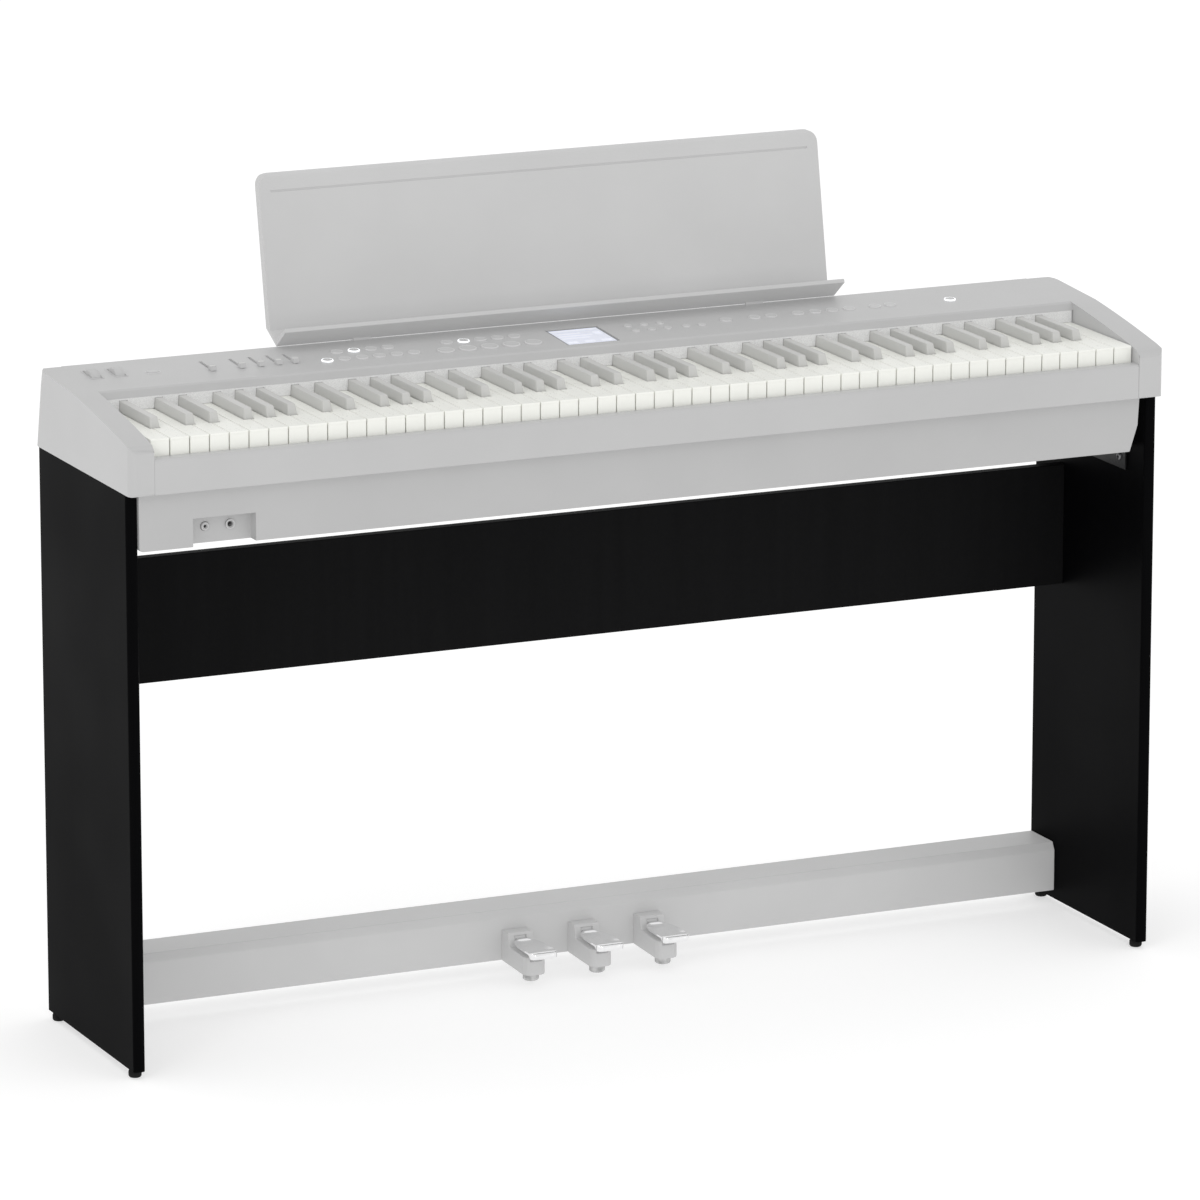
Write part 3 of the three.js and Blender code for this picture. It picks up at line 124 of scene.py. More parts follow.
class PianoSizes(PropertyGroup):
    board_edge: length_prop("Board edge", "Rounding of the stand boards", 1.2)
    case_edge: length_prop("Case edge", "Rounding of the moulded case edges", 1.2)
    ridge: length_prop("Cheek ridge", "Rounding along the outer top of the cheeks", 3.2)
    crease: length_prop("Deck crease", "Rounding where the deck turns down to the keys", 2.2)
    hole_edge: length_prop("Hole edge", "Rounding round holes in the deck", 0.35)
    key_edge: length_prop("Key edge", "Rounding of the white keys", 0.7)
    sharp_edge: length_prop("Sharp edge", "Rounding of the sharps", 1.3)
    key_lip: length_prop("Key lip", "How far a white key's top reaches past its front", 0.5)
    rest_edge: length_prop("Rest edge", "Rounding of the music rest", 1.1)
    wheel_ribs: IntProperty(name="Wheel ribs", description="Grip ribs round a thumb wheel",
                            default=44, min=8, max=90)


class PianoStage(PropertyGroup):
    sky: FloatProperty(name="Sky", description="Strength of the light from all round",
                       default=0.90, min=0.0)
    key_light: FloatProperty(name="Key light", description="Power of the left soft box",
                             default=17.0, min=0.0, unit="POWER")
    fill_light: FloatProperty(name="Fill light", description="Power of the right soft box",
                              default=6.0, min=0.0, unit="POWER")
    top_light: FloatProperty(name="Top light", description="Power of the overhead soft box",
                             default=5.0, min=0.0, unit="POWER")
    front_light: FloatProperty(name="Front light", description="Power of the small front light",
                               default=20.0, min=0.0, unit="POWER")
    heading: FloatProperty(name="Heading", description="Way the camera looks, from straight on",
                           default=math.radians(24.43), subtype="ANGLE")
    tilt: FloatProperty(name="Tilt", description="How far down the camera looks",
                        default=math.radians(13.64), subtype="ANGLE")
    lens: FloatProperty(name="Lens", description="Focal length in millimetres",
                        default=234.17, min=1.0)


# ---- finishes ------------------------------------------------------------------------------


def new_material(name):
    material = bpy.data.materials.new(name)
    material.use_nodes = True
    shader = material.node_tree.nodes["Principled BSDF"]
    return material, material.node_tree, shader


def add_noise(tree, scale, detail=2.0, stretch=(1.0, 1.0, 1.0), roughness=0.5):
    """Noise over the piece's own coordinates, in metres."""
    place = tree.nodes.new("ShaderNodeTexCoord")
    mapping = tree.nodes.new("ShaderNodeMapping")
    noise = tree.nodes.new("ShaderNodeTexNoise")
    mapping.inputs["Scale"].default_value = stretch
    noise.inputs["Scale"].default_value = scale
    noise.inputs["Detail"].default_value = detail
    noise.inputs["Roughness"].default_value = roughness
    tree.links.new(place.outputs["Object"], mapping.inputs["Vector"])
    tree.links.new(mapping.outputs["Vector"], noise.inputs["Vector"])
    return noise


def mix_colours(tree, factor, low, high):
    ramp = tree.nodes.new("ShaderNodeValToRGB")
    ramp.color_ramp.elements[0].position = 0.3
    ramp.color_ramp.elements[0].color = (*low, 1.0)
    ramp.color_ramp.elements[1].position = 0.7
    ramp.color_ramp.elements[1].color = (*high, 1.0)
    tree.links.new(factor, ramp.inputs["Fac"])
    return ramp.outputs["Color"]


def map_range(tree, value, low, high):
    node = tree.nodes.new("ShaderNodeMapRange")
    node.inputs["From Min"].default_value = 0.3
    node.inputs["From Max"].default_value = 0.7
    node.inputs["To Min"].default_value = low
    node.inputs["To Max"].default_value = high
    tree.links.new(value, node.inputs["Value"])
    return node.outputs["Result"]


def add_bump(tree, shader, heights, strength, distance):
    """Bumps from one or more heights, added up."""
    total = heights[0]
    for height in heights[1:]:
        add = tree.nodes.new("ShaderNodeMath")
        add.operation = "ADD"
        tree.links.new(total, add.inputs[0])
        tree.links.new(height, add.inputs[1])
        total = add.outputs[0]
    bump = tree.nodes.new("ShaderNodeBump")
    bump.inputs["Strength"].default_value = strength
    bump.inputs["Distance"].default_value = distance
    tree.links.new(total, bump.inputs["Height"])
    tree.links.new(bump.outputs["Normal"], shader.inputs["Normal"])


def give_glow(tree, shader, tone, strength):
    tree.links.new(tone, shader.inputs["Emission Color"])
    shader.inputs["Emission Strength"].default_value = strength


def scaled(colour, by):
    return tuple(min(1.0, part * by) for part in colour)


def moulded(name, colour, rough=0.5, specular=0.4, spread=0.02, grain=1100.0, bump=0.08,
            glow=0.0):
    """Moulded plastic: leathery grain, slight clouding, uneven sheen, and, if asked, a glow that is
    painted light lifting its shaded faces.
    """
    material, tree, shader = new_material(name)
    cloud = add_noise(tree, 9.0, 3.0)
    speck = add_noise(tree, grain * 0.6, 2.0)
    grit = add_noise(tree, grain, 2.0)
    tone = mix_colours(tree, cloud.outputs["Fac"], scaled(colour, 1 - spread),
                       scaled(colour, 1 + spread))
    tree.links.new(tone, shader.inputs["Base Color"])
    if glow:
        give_glow(tree, shader, tone, glow)
    tree.links.new(map_range(tree, speck.outputs["Fac"], rough - 0.04, rough + 0.04),
                   shader.inputs["Roughness"])
    shader.inputs["Specular IOR Level"].default_value = specular
    add_bump(tree, shader, [grit.outputs["Fac"], speck.outputs["Fac"]], bump, 0.0002)
    return material


def board_black(name, colour, ior):
    """Black laminate: fine pores, faint lengthwise streaks, soft sheen."""
    material, tree, shader = new_material(name)
    streak = add_noise(tree, 60.0, 4.0, (1.0, 1.0, 0.06))
    pore = add_noise(tree, 650.0, 3.0, (1.0, 1.0, 0.45), 0.65)
    mottle = add_noise(tree, 4.0, 2.0)
    both = tree.nodes.new("ShaderNodeMath")
    both.operation = "MULTIPLY_ADD"
    both.inputs[1].default_value = 0.35
    tree.links.new(pore.outputs["Fac"], both.inputs[0])
    tree.links.new(map_range(tree, streak.outputs["Fac"], 0.28, 0.38), both.inputs[2])
    tone = mix_colours(tree, both.outputs[0], scaled(colour, 0.75), scaled(colour, 1.35))
    tree.links.new(tone, shader.inputs["Base Color"])
    tree.links.new(map_range(tree, mottle.outputs["Fac"], 0.42, 0.52),
                   shader.inputs["Roughness"])
    shader.inputs["IOR"].default_value = ior
    add_bump(tree, shader, [pore.outputs["Fac"]], 0.12, 0.0002)
    return material


def key_gloss(name, colour, rough, specular, spread):
    """Polished key plastic with a faint lengthwise drift of tone."""
    material, tree, shader = new_material(name)
    drift = add_noise(tree, 26.0, 2.0, (1.0, 0.15, 1.0))
    grain = add_noise(tree, 900.0, 2.0, (1.0, 0.2, 1.0))
    tone = mix_colours(tree, drift.outputs["Fac"], scaled(colour, 1 - spread), colour)
    tree.links.new(tone, shader.inputs["Base Color"])
    tree.links.new(map_range(tree, grain.outputs["Fac"], rough - 0.03, rough + 0.05),
                   shader.inputs["Roughness"])
    shader.inputs["Specular IOR Level"].default_value = specular
    add_bump(tree, shader, [grain.outputs["Fac"]], 0.03, 0.0001)
    return material


def felt(name, colour):
    """Pressed wool felt: soft fibres and a light nap, with a faint glow that is painted light
    lifting the shade in the gap over the keys.
    """
    material, tree, shader = new_material(name)
    fibre = add_noise(tree, 1600.0, 4.0, (0.5, 1.0, 1.0), 0.7)
    tone = mix_colours(tree, fibre.outputs["Fac"], scaled(colour, 0.82), scaled(colour, 1.15))
    tree.links.new(tone, shader.inputs["Base Color"])
    shader.inputs["Roughness"].default_value = 0.95
    shader.inputs["Specular IOR Level"].default_value = 0.1
    shader.inputs["Sheen Weight"].default_value = 0.3
    give_glow(tree, shader, tone, FELT_GLOW)
    add_bump(tree, shader, [fibre.outputs["Fac"]], 0.5, 0.0004)
    return material


def polished_metal(name, colour, rough=0.07):
    """Plated metal with a trace of polishing marks."""
    material, tree, shader = new_material(name)
    haze = add_noise(tree, 40.0, 3.0)
    marks = add_noise(tree, 700.0, 2.0, (1.0, 0.08, 1.0))
    tone = mix_colours(tree, haze.outputs["Fac"], scaled(colour, 0.95), colour)
    tree.links.new(tone, shader.inputs["Base Color"])
    tree.links.new(map_range(tree, haze.outputs["Fac"], rough, rough + 0.06),
                   shader.inputs["Roughness"])
    shader.inputs["Metallic"].default_value = 1.0
    add_bump(tree, shader, [marks.outputs["Fac"]], 0.03, 0.0001)
    return material


def painted_steel(name, colour):
    """Powder-coated steel with orange-peel texture."""
    material, tree, shader = new_material(name)
    peel = add_noise(tree, 420.0, 3.0, (1.0, 1.0, 1.0), 0.6)
    cloud = add_noise(tree, 30.0, 2.0)
    tone = mix_colours(tree, cloud.outputs["Fac"], scaled(colour, 0.8), scaled(colour, 1.3))
    tree.links.new(tone, shader.inputs["Base Color"])
    tree.links.new(map_range(tree, peel.outputs["Fac"], 0.34, 0.5), shader.inputs["Roughness"])
    shader.inputs["Specular IOR Level"].default_value = 0.5
    add_bump(tree, shader, [peel.outputs["Fac"]], 0.35, 0.0003)
    return material


def rubber(name, colour):
    material, tree, shader = new_material(name)
    dust = add_noise(tree, 120.0, 4.0)
    pit = add_noise(tree, 900.0, 2.0)
    tone = mix_colours(tree, dust.outputs["Fac"], scaled(colour, 0.8), scaled(colour, 1.5))
    tree.links.new(tone, shader.inputs["Base Color"])
    shader.inputs["Roughness"].default_value = 0.85
    shader.inputs["Specular IOR Level"].default_value = 0.2
    add_bump(tree, shader, [pit.outputs["Fac"]], 0.3, 0.0003)
    return material


def lamp(name, colour, strength):
    """A light guide: bright, a little uneven along its length."""
    material, tree, shader = new_material(name)
    uneven = add_noise(tree, 300.0, 1.0)
    tone = mix_colours(tree, uneven.outputs["Fac"], scaled(colour, 0.93), colour)
    tree.links.new(tone, shader.inputs["Base Color"])
    give_glow(tree, shader, tone, strength)
    shader.inputs["Roughness"].default_value = 0.35
    return material


def board_green(name):
    """Lacquered circuit board: tracks as a faint square pattern under the lacquer."""
    material, tree, shader = new_material(name)
    place = tree.nodes.new("ShaderNodeTexCoord")
    tracks = tree.nodes.new("ShaderNodeTexBrick")
    tracks.inputs["Scale"].default_value = 160.0
    tracks.inputs["Color1"].default_value = (0.01, 0.09, 0.03, 1.0)
    tracks.inputs["Color2"].default_value = (0.012, 0.11, 0.035, 1.0)
    tracks.inputs["Mortar"].default_value = (0.03, 0.2, 0.07, 1.0)
    tracks.inputs["Mortar Size"].default_value = 0.012
    tree.links.new(place.outputs["Object"], tracks.inputs["Vector"])
    tree.links.new(tracks.outputs["Color"], shader.inputs["Base Color"])
    shader.inputs["Roughness"].default_value = 0.3
    add_bump(tree, shader, [tracks.outputs["Fac"]], 0.3, 0.0001)
    return material


def floor_finish(name, colour):
    material, tree, shader = new_material(name)
    cloud = add_noise(tree, 0.6, 2.0)
    tone = mix_colours(tree, cloud.outputs["Fac"], scaled(colour, 0.995), colour)
    tree.links.new(tone, shader.inputs["Base Color"])
    give_glow(tree, shader, tone, FLOOR_GLOW)
    shader.inputs["Roughness"].default_value = 1.0
    shader.inputs["Specular IOR Level"].default_value = 0.0
    return material


class Finishes:
    """Every finish, made once from the scene's colours."""

    made = {}

    @classmethod
    def make(cls, colours):
        def colour(name):
            return tuple(getattr(colours, name))

        cls.made = {
            # The case, lower case, music rest, pedal unit and button cap plastics glow: painted
            # light that lifts their shaded faces to an even grey
            "case": moulded("case_plastic", colour("case_grey"), 0.40, 0.5, glow=CASE_GLOW),
            "lower": moulded("lower_case_plastic", colour("lower_grey"), 0.55, 0.35,
                             glow=CASE_GLOW),
            "rest": moulded("music_rest_plastic", colour("rest_grey"), 0.5, 0.35,
                            glow=REST_GLOW),
            "beam": moulded("pedal_unit_plastic", colour("beam_grey"), 0.5, 0.35,
                            glow=CASE_GLOW),
            "stand": board_black("stand_laminate", colour("stand_black"), 1.07),
            "back": board_black("back_laminate", colour("back_black"), 1.07),
            "white_key": key_gloss("white_key_plastic", colour("key_white"), 0.3, 0.45,
                                   0.02),
            "sharp": key_gloss("sharp_plastic", colour("key_grey"), 0.38, 0.4, 0.06),
            "felt": felt("key_felt", colour("felt_grey")),
            "chrome": polished_metal("pedal_chrome", colour("chrome")),
            "steel": painted_steel("bracket_paint", colour("steel")),
            "screw": polished_metal("screw_zinc", (0.22, 0.22, 0.225), 0.35),
            "rubber": rubber("glide_rubber", (0.008, 0.008, 0.008)),
            "foot": rubber("adjuster_plastic", (0.46, 0.46, 0.46)),
            "cap": moulded("button_cap", scaled(colour("case_grey"), 1.03), 0.4, 0.4,
                           0.02, 1500.0, glow=REST_GLOW),
            "ring": key_gloss("button_ring", colour("ring_grey"), 0.3, 0.5, 0.04),
            "lit": lamp("lit_ring", colour("lamp"), 1.0),
            "screen": lamp("lit_screen", colour("screen"), 0.35),
            "mark": lamp("screen_marks", scaled(colour("screen"), 1.16), 0.35),
            "bezel": moulded("dark_bezel", (0.30, 0.31, 0.32), 0.25, 0.5, 0.02, 1500.0, 0.02),
            # The socket grey is set light to soften the shade in the jack recess: partly painted
            # light
            "socket": moulded("socket_plastic", (0.46, 0.46, 0.46), 0.5, 0.35),
            "hole": rubber("socket_inside", (0.06, 0.06, 0.06)),
            "board": board_green("circuit_board"),
            "cone": rubber("speaker_cone", (0.02, 0.02, 0.02)),
        }


def finish_of(name):
    return Finishes.made[name]


# ---- mesh helpers --------------------------------------------------------------------------


def put_piece(name, bm, body, finishes, replaces=(), sharp=35.0):
    """Links a mesh as a piece, smooth but for its sharp corners, riding on its body."""
    mesh = bpy.data.meshes.new(name)
    bmesh.ops.recalc_face_normals(bm, faces=bm.faces)
    bm.to_mesh(mesh)
    bm.free()
    for finish in finishes:
        mesh.materials.append(finish_of(finish))
    mesh.shade_smooth()
    mesh.set_sharp_from_angle(angle=math.radians(sharp))
    piece = bpy.data.objects.new(name, mesh)
    bpy.context.scene.collection.objects.link(piece)
    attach(piece, body)
    if replaces:
        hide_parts(*replaces)
    return piece


def weigh_normals(piece):
    modifier = piece.modifiers.new("Weighted normals", "WEIGHTED_NORMAL")
    modifier.keep_sharp = True
    modifier.weight = 50


def round_edges(piece, width, segments):
    modifier = piece.modifiers.new("Rounded edges", "BEVEL")
    modifier.limit_method = "WEIGHT"
    modifier.width = width
    modifier.segments = segments
    modifier.use_clamp_overlap = True
    modifier.miter_outer = "MITER_SHARP"
    weigh_normals(piece)


def copied(node):
    """The CAD node's mesh, welded, with its flat faces made whole."""
    bm = bmesh.new()
    bm.from_mesh(NODES[node].data)
    bmesh.ops.remove_doubles(bm, verts=bm.verts, dist=2e-6)
    bmesh.ops.dissolve_limit(bm, angle_limit=FLAT_ANGLE, verts=bm.verts, edges=bm.edges)
    bmesh.ops.dissolve_degenerate(bm, edges=bm.edges, dist=1e-6)
    return bm


def set_weights(bm, width_of, widest, angle=25.0):
    """Gives each corner edge the share of the widest rounding that its place calls for."""
    layer = bm.edges.layers.float.new("bevel_weight_edge")
    bm.normal_update()
    for edge in bm.edges:
        if len(edge.link_faces) != 2 or edge.calc_face_angle(0.0) < math.radians(angle):
            continue
        first, second = edge.verts
        middle = (first.co + second.co) / 2
        way = (second.co - first.co).normalized()
        edge[layer] = min(1.0, width_of(middle, way, edge) / widest)


def softened(node, name, body, finish, width, segments=3, width_of=None, angle=25.0,
             reshape=None):
    """A finished copy of a CAD node with rounded corners."""
    bm = copied(node)
    if reshape:
        reshape(bm)
    set_weights(bm, width_of or (lambda middle, way, edge: width), width, angle)
    piece = put_piece(name, bm, body, [finish], [node], 40.0)
    round_edges(piece, width, segments)
    return piece


def stack(bm, loops, material=0):
    """Closed skin over loops of points that have the same count, ends capped."""
    rows = [[bm.verts.new(point) for point in loop] for loop in loops]
    count = len(rows[0])
    faces = []
    for low, high in zip(rows, rows[1:]):
        for i in range(count):
            j = (i + 1) % count
            faces.append(bm.faces.new((low[i], low[j], high[j], high[i])))
    faces.append(bm.faces.new(list(reversed(rows[0]))))
    faces.append(bm.faces.new(rows[-1]))
    for face in faces:
        face.material_index = material
    return faces


def ring(radius, height, count, wobble=None):
    """Points round the Z axis; wobble changes the radius point by point."""
    points = []
    for i in range(count):
        angle = 2 * math.pi * i / count
        reach = radius + (wobble[i % len(wobble)] if wobble else 0.0)
        points.append(Vector((reach * math.cos(angle), reach * math.sin(angle), height)))
    return points


def turned(bm, profile, place, count=32, ribs=None):
    """Skin turned round place's Z axis from (radius, height) pairs, both ends closed."""
    loops = []
    for index, (radius, height) in enumerate(profile):
        wobble = ribs if ribs and 0 < index < len(profile) - 1 else None
        loops.append([place @ point for point in ring(radius, height, count, wobble)])
    stack(bm, loops)


def inset_outline(points, step):
    """The outline drawn in by step; points go round anticlockwise."""
    result = []
    count = len(points)
    for i in range(count):
        before = Vector(points[i - 1])
        here = Vector(points[i])
        after = Vector(points[(i + 1) % count])
        into = (here - before).normalized()
        out = (after - here).normalized()
        normal_in = Vector((-into.y, into.x))
        normal_out = Vector((-out.y, out.x))
        bisector = normal_in + normal_out
        scale = 1 + normal_in.dot(normal_out)
        result.append(here + bisector * (step / max(scale, 0.2)))
    return result


def prism(bm, outline, low, high, place, edge=0.0, steps=3, material=0):
    """Upright prism over an outline, with its top rounded by edge."""
    loops = [(outline, low)]
    if edge:
        for i in range(steps + 1):
            turn = half_pi_share(i, steps)
            loops.append((inset_outline(outline, edge * (1 - math.cos(turn))),
                          high - edge * (1 - math.sin(turn))))
    else:
        loops.append((outline, high))
    stack(bm, placed(place, loops), material)


def placed(place, loops):
    """Points in space for (outline, height) pairs given on place's own plane."""
    return [[place @ Vector((p[0], p[1], z)) for p in points] for points, z in loops]


def half_pi_share(i, steps):
    return 0.5 * math.pi * i / steps


def rounded_box_outline(x0, x1, y0, y1, radius, steps=4):
    centres = [(x0 + radius, y0 + radius, math.pi), (x1 - radius, y0 + radius, 1.5 * math.pi),
               (x1 - radius, y1 - radius, 0.0), (x0 + radius, y1 - radius, 0.5 * math.pi)]
    points = []
    for x, y, start in centres:
        for i in range(steps + 1):
            angle = start + half_pi_share(i, steps)
            points.append((x + radius * math.cos(angle), y + radius * math.sin(angle)))
    return points


def frame_at(origin, z_axis, x_axis=Vector((1, 0, 0))):
    """Matrix whose Z axis is z_axis, with X as near to x_axis as it can be."""
    z = Vector(z_axis).normalized()
    y = z.cross(Vector(x_axis)).normalized()
    x = y.cross(z)
    matrix = Matrix((x, y, z)).transposed().to_4x4()
    matrix.translation = Vector(origin)
    return matrix


def groups_of(values, gap):
    """Sorted numbers split wherever the step is more than gap."""
    ordered = sorted(values)
    groups = [[ordered[0]]]
    for value in ordered[1:]:
        if value - groups[-1][-1] > gap:
            groups.append([])
        groups[-1].append(value)
    return groups


# ---- the slanted deck ----------------------------------------------------------------------


def deck_up():
    """Upward normal of the deck, from the way its buttons move."""
    axis = Vector(JOINTS["power_button_press"]["axis"])
    return -axis if axis.z < 0 else axis


DECK_UP = deck_up().normalized()
DECK_BACK = Vector((0, DECK_UP.z, -DECK_UP.y)).normalized()


def deck_height_offset():
    """How far the deck lies along its own normal from the origin."""
    low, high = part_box("display")
    corner = max(DECK_UP.dot(v.co) for v in NODES["display"].data.vertices)
    return corner + 0.5 * MM


DECK_OFFSET = deck_height_offset()


def deck_place(x, along):
    """Matrix on the deck's surface; along is measured up the slope from the origin."""
    origin = Vector((x, 0, 0)) + DECK_BACK * along + DECK_UP * DECK_OFFSET
    return frame_at(origin, DECK_UP)


def on_deck(point):
    """(x, along, height over the deck) of a point."""
    return point.x, DECK_BACK.dot(point), DECK_UP.dot(point) - DECK_OFFSET


RIM_STEP = 3.7 * MM  # more than the step between two points of a cap's rim


def middle_and_half(points):
    """Middle and half size of some points on the deck, as (x, along, half_x, half_y)."""
    xs = [p[0] for p in points]
    ys = [p[1] for p in points]
    return ((min(xs) + max(xs)) / 2, (min(ys) + max(ys)) / 2,
            (max(xs) - min(xs)) / 2, (max(ys) - min(ys)) / 2)


def caps_of(node):
    """Centre and radius of each round cap that stands proud of the deck."""
    tops = [on_deck(v.co) for v in NODES[node].data.vertices]
    tops = [t for t in tops if t[2] > 0.8 * MM]
    caps = []
    left = list(tops)
    while left:
        seed = left.pop()
        group = [seed]
        grown = True
        while grown:
            near = [t for t in left if any(math.hypot(t[0] - g[0], t[1] - g[1]) < RIM_STEP
                                           for g in group)]
            grown = bool(near)
            group += near
            left = [t for t in left if t not in near]
        x, along, radius = middle_and_half(group)[:3]
        caps.append((round(x, 6), round(along, 6), radius))
    return sorted(caps)


# ---- operators -----------------------------------------------------------------------------


class PieceOperator:
    """What every operator of the panel shares."""

    bl_options = {"REGISTER", "UNDO"}


class PIANO_OT_finishes(PieceOperator, Operator):
    """Makes the finishes from the scene's colours"""

    bl_idname = "piano.finishes"
    bl_label = "Make Finishes"

    def execute(self, context):
        Finishes.make(context.scene.piano_colours)
        return {"FINISHED"}


class PIANO_OT_boards(PieceOperator, Operator):
    """Finishes the two side panels and the back panel of the stand"""

    bl_idname = "piano.boards"
    bl_label = "Make Stand Boards"

    def execute(self, context):
        width = context.scene.piano_sizes.board_edge
        for node in ("left_side_panel", "right_side_panel", "back_panel"):
            finish = "back" if node == "back_panel" else "stand"
            softened(node, f"{node}_board", "cabinet", finish, width, 3)
        return {"FINISHED"}


class PIANO_OT_glides(PieceOperator, Operator):
    """Makes the round glides under the side panels"""

    bl_idname = "piano.glides"
    bl_label = "Make Glides"

    def execute(self, context):
        for side in ("left", "right"):
            for end in ("front", "rear"):
                self.make_glide(f"{side}_{end}_glide")
        return {"FINISHED"}

    def make_glide(self, node):
        low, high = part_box(node)
        centre = (low + high) / 2
        radius = (high.x - low.x) / 2
        place = Matrix.Translation((centre.x, centre.y, low.z))
        profile = [(radius - 2 * MM, 0), (radius - 1.2 * MM, 0.3 * MM),
                   (radius - 0.3 * MM, 1.4 * MM), (radius, 2.6 * MM), (radius, 6.6 * MM),
                   (radius - 0.5 * MM, 7.9 * MM), (radius - 1.4 * MM, 8.5 * MM),
                   (3 * MM, 8.6 * MM), (3 * MM, high.z - low.z)]
        bm = bmesh.new()
        turned(bm, profile, place, 40)
        piece = put_piece(f"{node}_pad", bm, "cabinet", ["rubber"], [node])
        weigh_normals(piece)


def screw(bm, place, radius, height):
    """Pan-head screw with a cross recess; place's Z points out of the surface."""
    count = 32
    arm, reach = 0.16 * radius, 0.62 * radius
    angles = [2 * math.pi * (i + 0.5) / count for i in range(count)]
    recess = []
    for angle in angles:
        c, s = abs(math.cos(angle)), abs(math.sin(angle))
        recess.append(max(min(reach / c, arm / s), min(reach / s, arm / c)))

    def loop(radii, z):
        return [place @ Vector((r * math.cos(angle), r * math.sin(angle), z))
                for r, angle in zip(radii, angles)]

    head = ((1.0, 0.0), (1.0, 0.3), (0.93, 0.68), (0.76, 0.93), (0.68, 1.0))
    loops = [loop([share * radius] * count, z * height) for share, z in head]
    loops += [loop(recess, height), loop([0.8 * r for r in recess], 0.45 * height)]
    stack(bm, loops)


class PIANO_OT_brackets(PieceOperator, Operator):
    """Finishes the steel angles that tie the stand to the case, with their screws"""

    bl_idname = "piano.brackets"
    bl_label = "Make Brackets"

    def execute(self, context):
        for side in (-1, 1):
            word = "left" if side < 0 else "right"
            node = f"{word}_bracket"
            softened(node, f"{node}_angle", "cabinet", "steel", 0.5 * MM, 2)
            self.make_screws(node, word, side)
        return {"FINISHED"}

    def make_screws(self, node, word, side):
        low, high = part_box(node)
        bm = bmesh.new()
        leg_x = (high.x if side > 0 else low.x) - side * 2.5 * MM
        drop = (high.z - low.z) / 2 + 2 * MM
        for y in (14 * MM, 46 * MM, 100 * MM, 131 * MM):
            place = frame_at((leg_x, low.y + y, high.z - drop), (-side, 0, 0), (0, 1, 0))
            screw(bm, place, 4.6 * MM, 2.2 * MM)
        flange_x = (low.x if side > 0 else high.x) + side * 10 * MM
        for y in (12 * MM, 34 * MM, 133 * MM):
            place = frame_at((flange_x, low.y + y, high.z - 2.5 * MM), (0, 0, -1))
            screw(bm, place, 4.2 * MM, 2 * MM)
        put_piece(f"{word}_bracket_screws", bm, "cabinet", ["screw"], ())


class PIANO_OT_pedal_beam(PieceOperator, Operator):
    """Finishes the beam between the side panels and its rear cover"""

    bl_idname = "piano.pedal_beam"
    bl_label = "Make Pedal Beam"

    def execute(self, context):
        width = context.scene.piano_sizes.case_edge
        softened("pedal_beam", "pedal_beam_shell", "cabinet", "beam",
                 width, 3)
        softened("pedal_beam_cover", "pedal_beam_back", "cabinet", "beam",
                 0.6 * MM, 2)
        low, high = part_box("pedal_beam_cover")
        bm = bmesh.new()
        for share in (0.03, 0.27, 0.5, 0.73, 0.97):
            x = low.x + (high.x - low.x) * share
            place = frame_at((x, high.y - 1.7 * MM, (low.z + high.z) / 2), (0, 1, 0))
            screw(bm, place, 3.6 * MM, 1.6 * MM)
        put_piece("pedal_beam_screws", bm, "cabinet", ["screw"], ())
        return {"FINISHED"}


def smooth_step(share):
    share = max(0.0, min(1.0, share))
    return share * share * (3 - 2 * share)


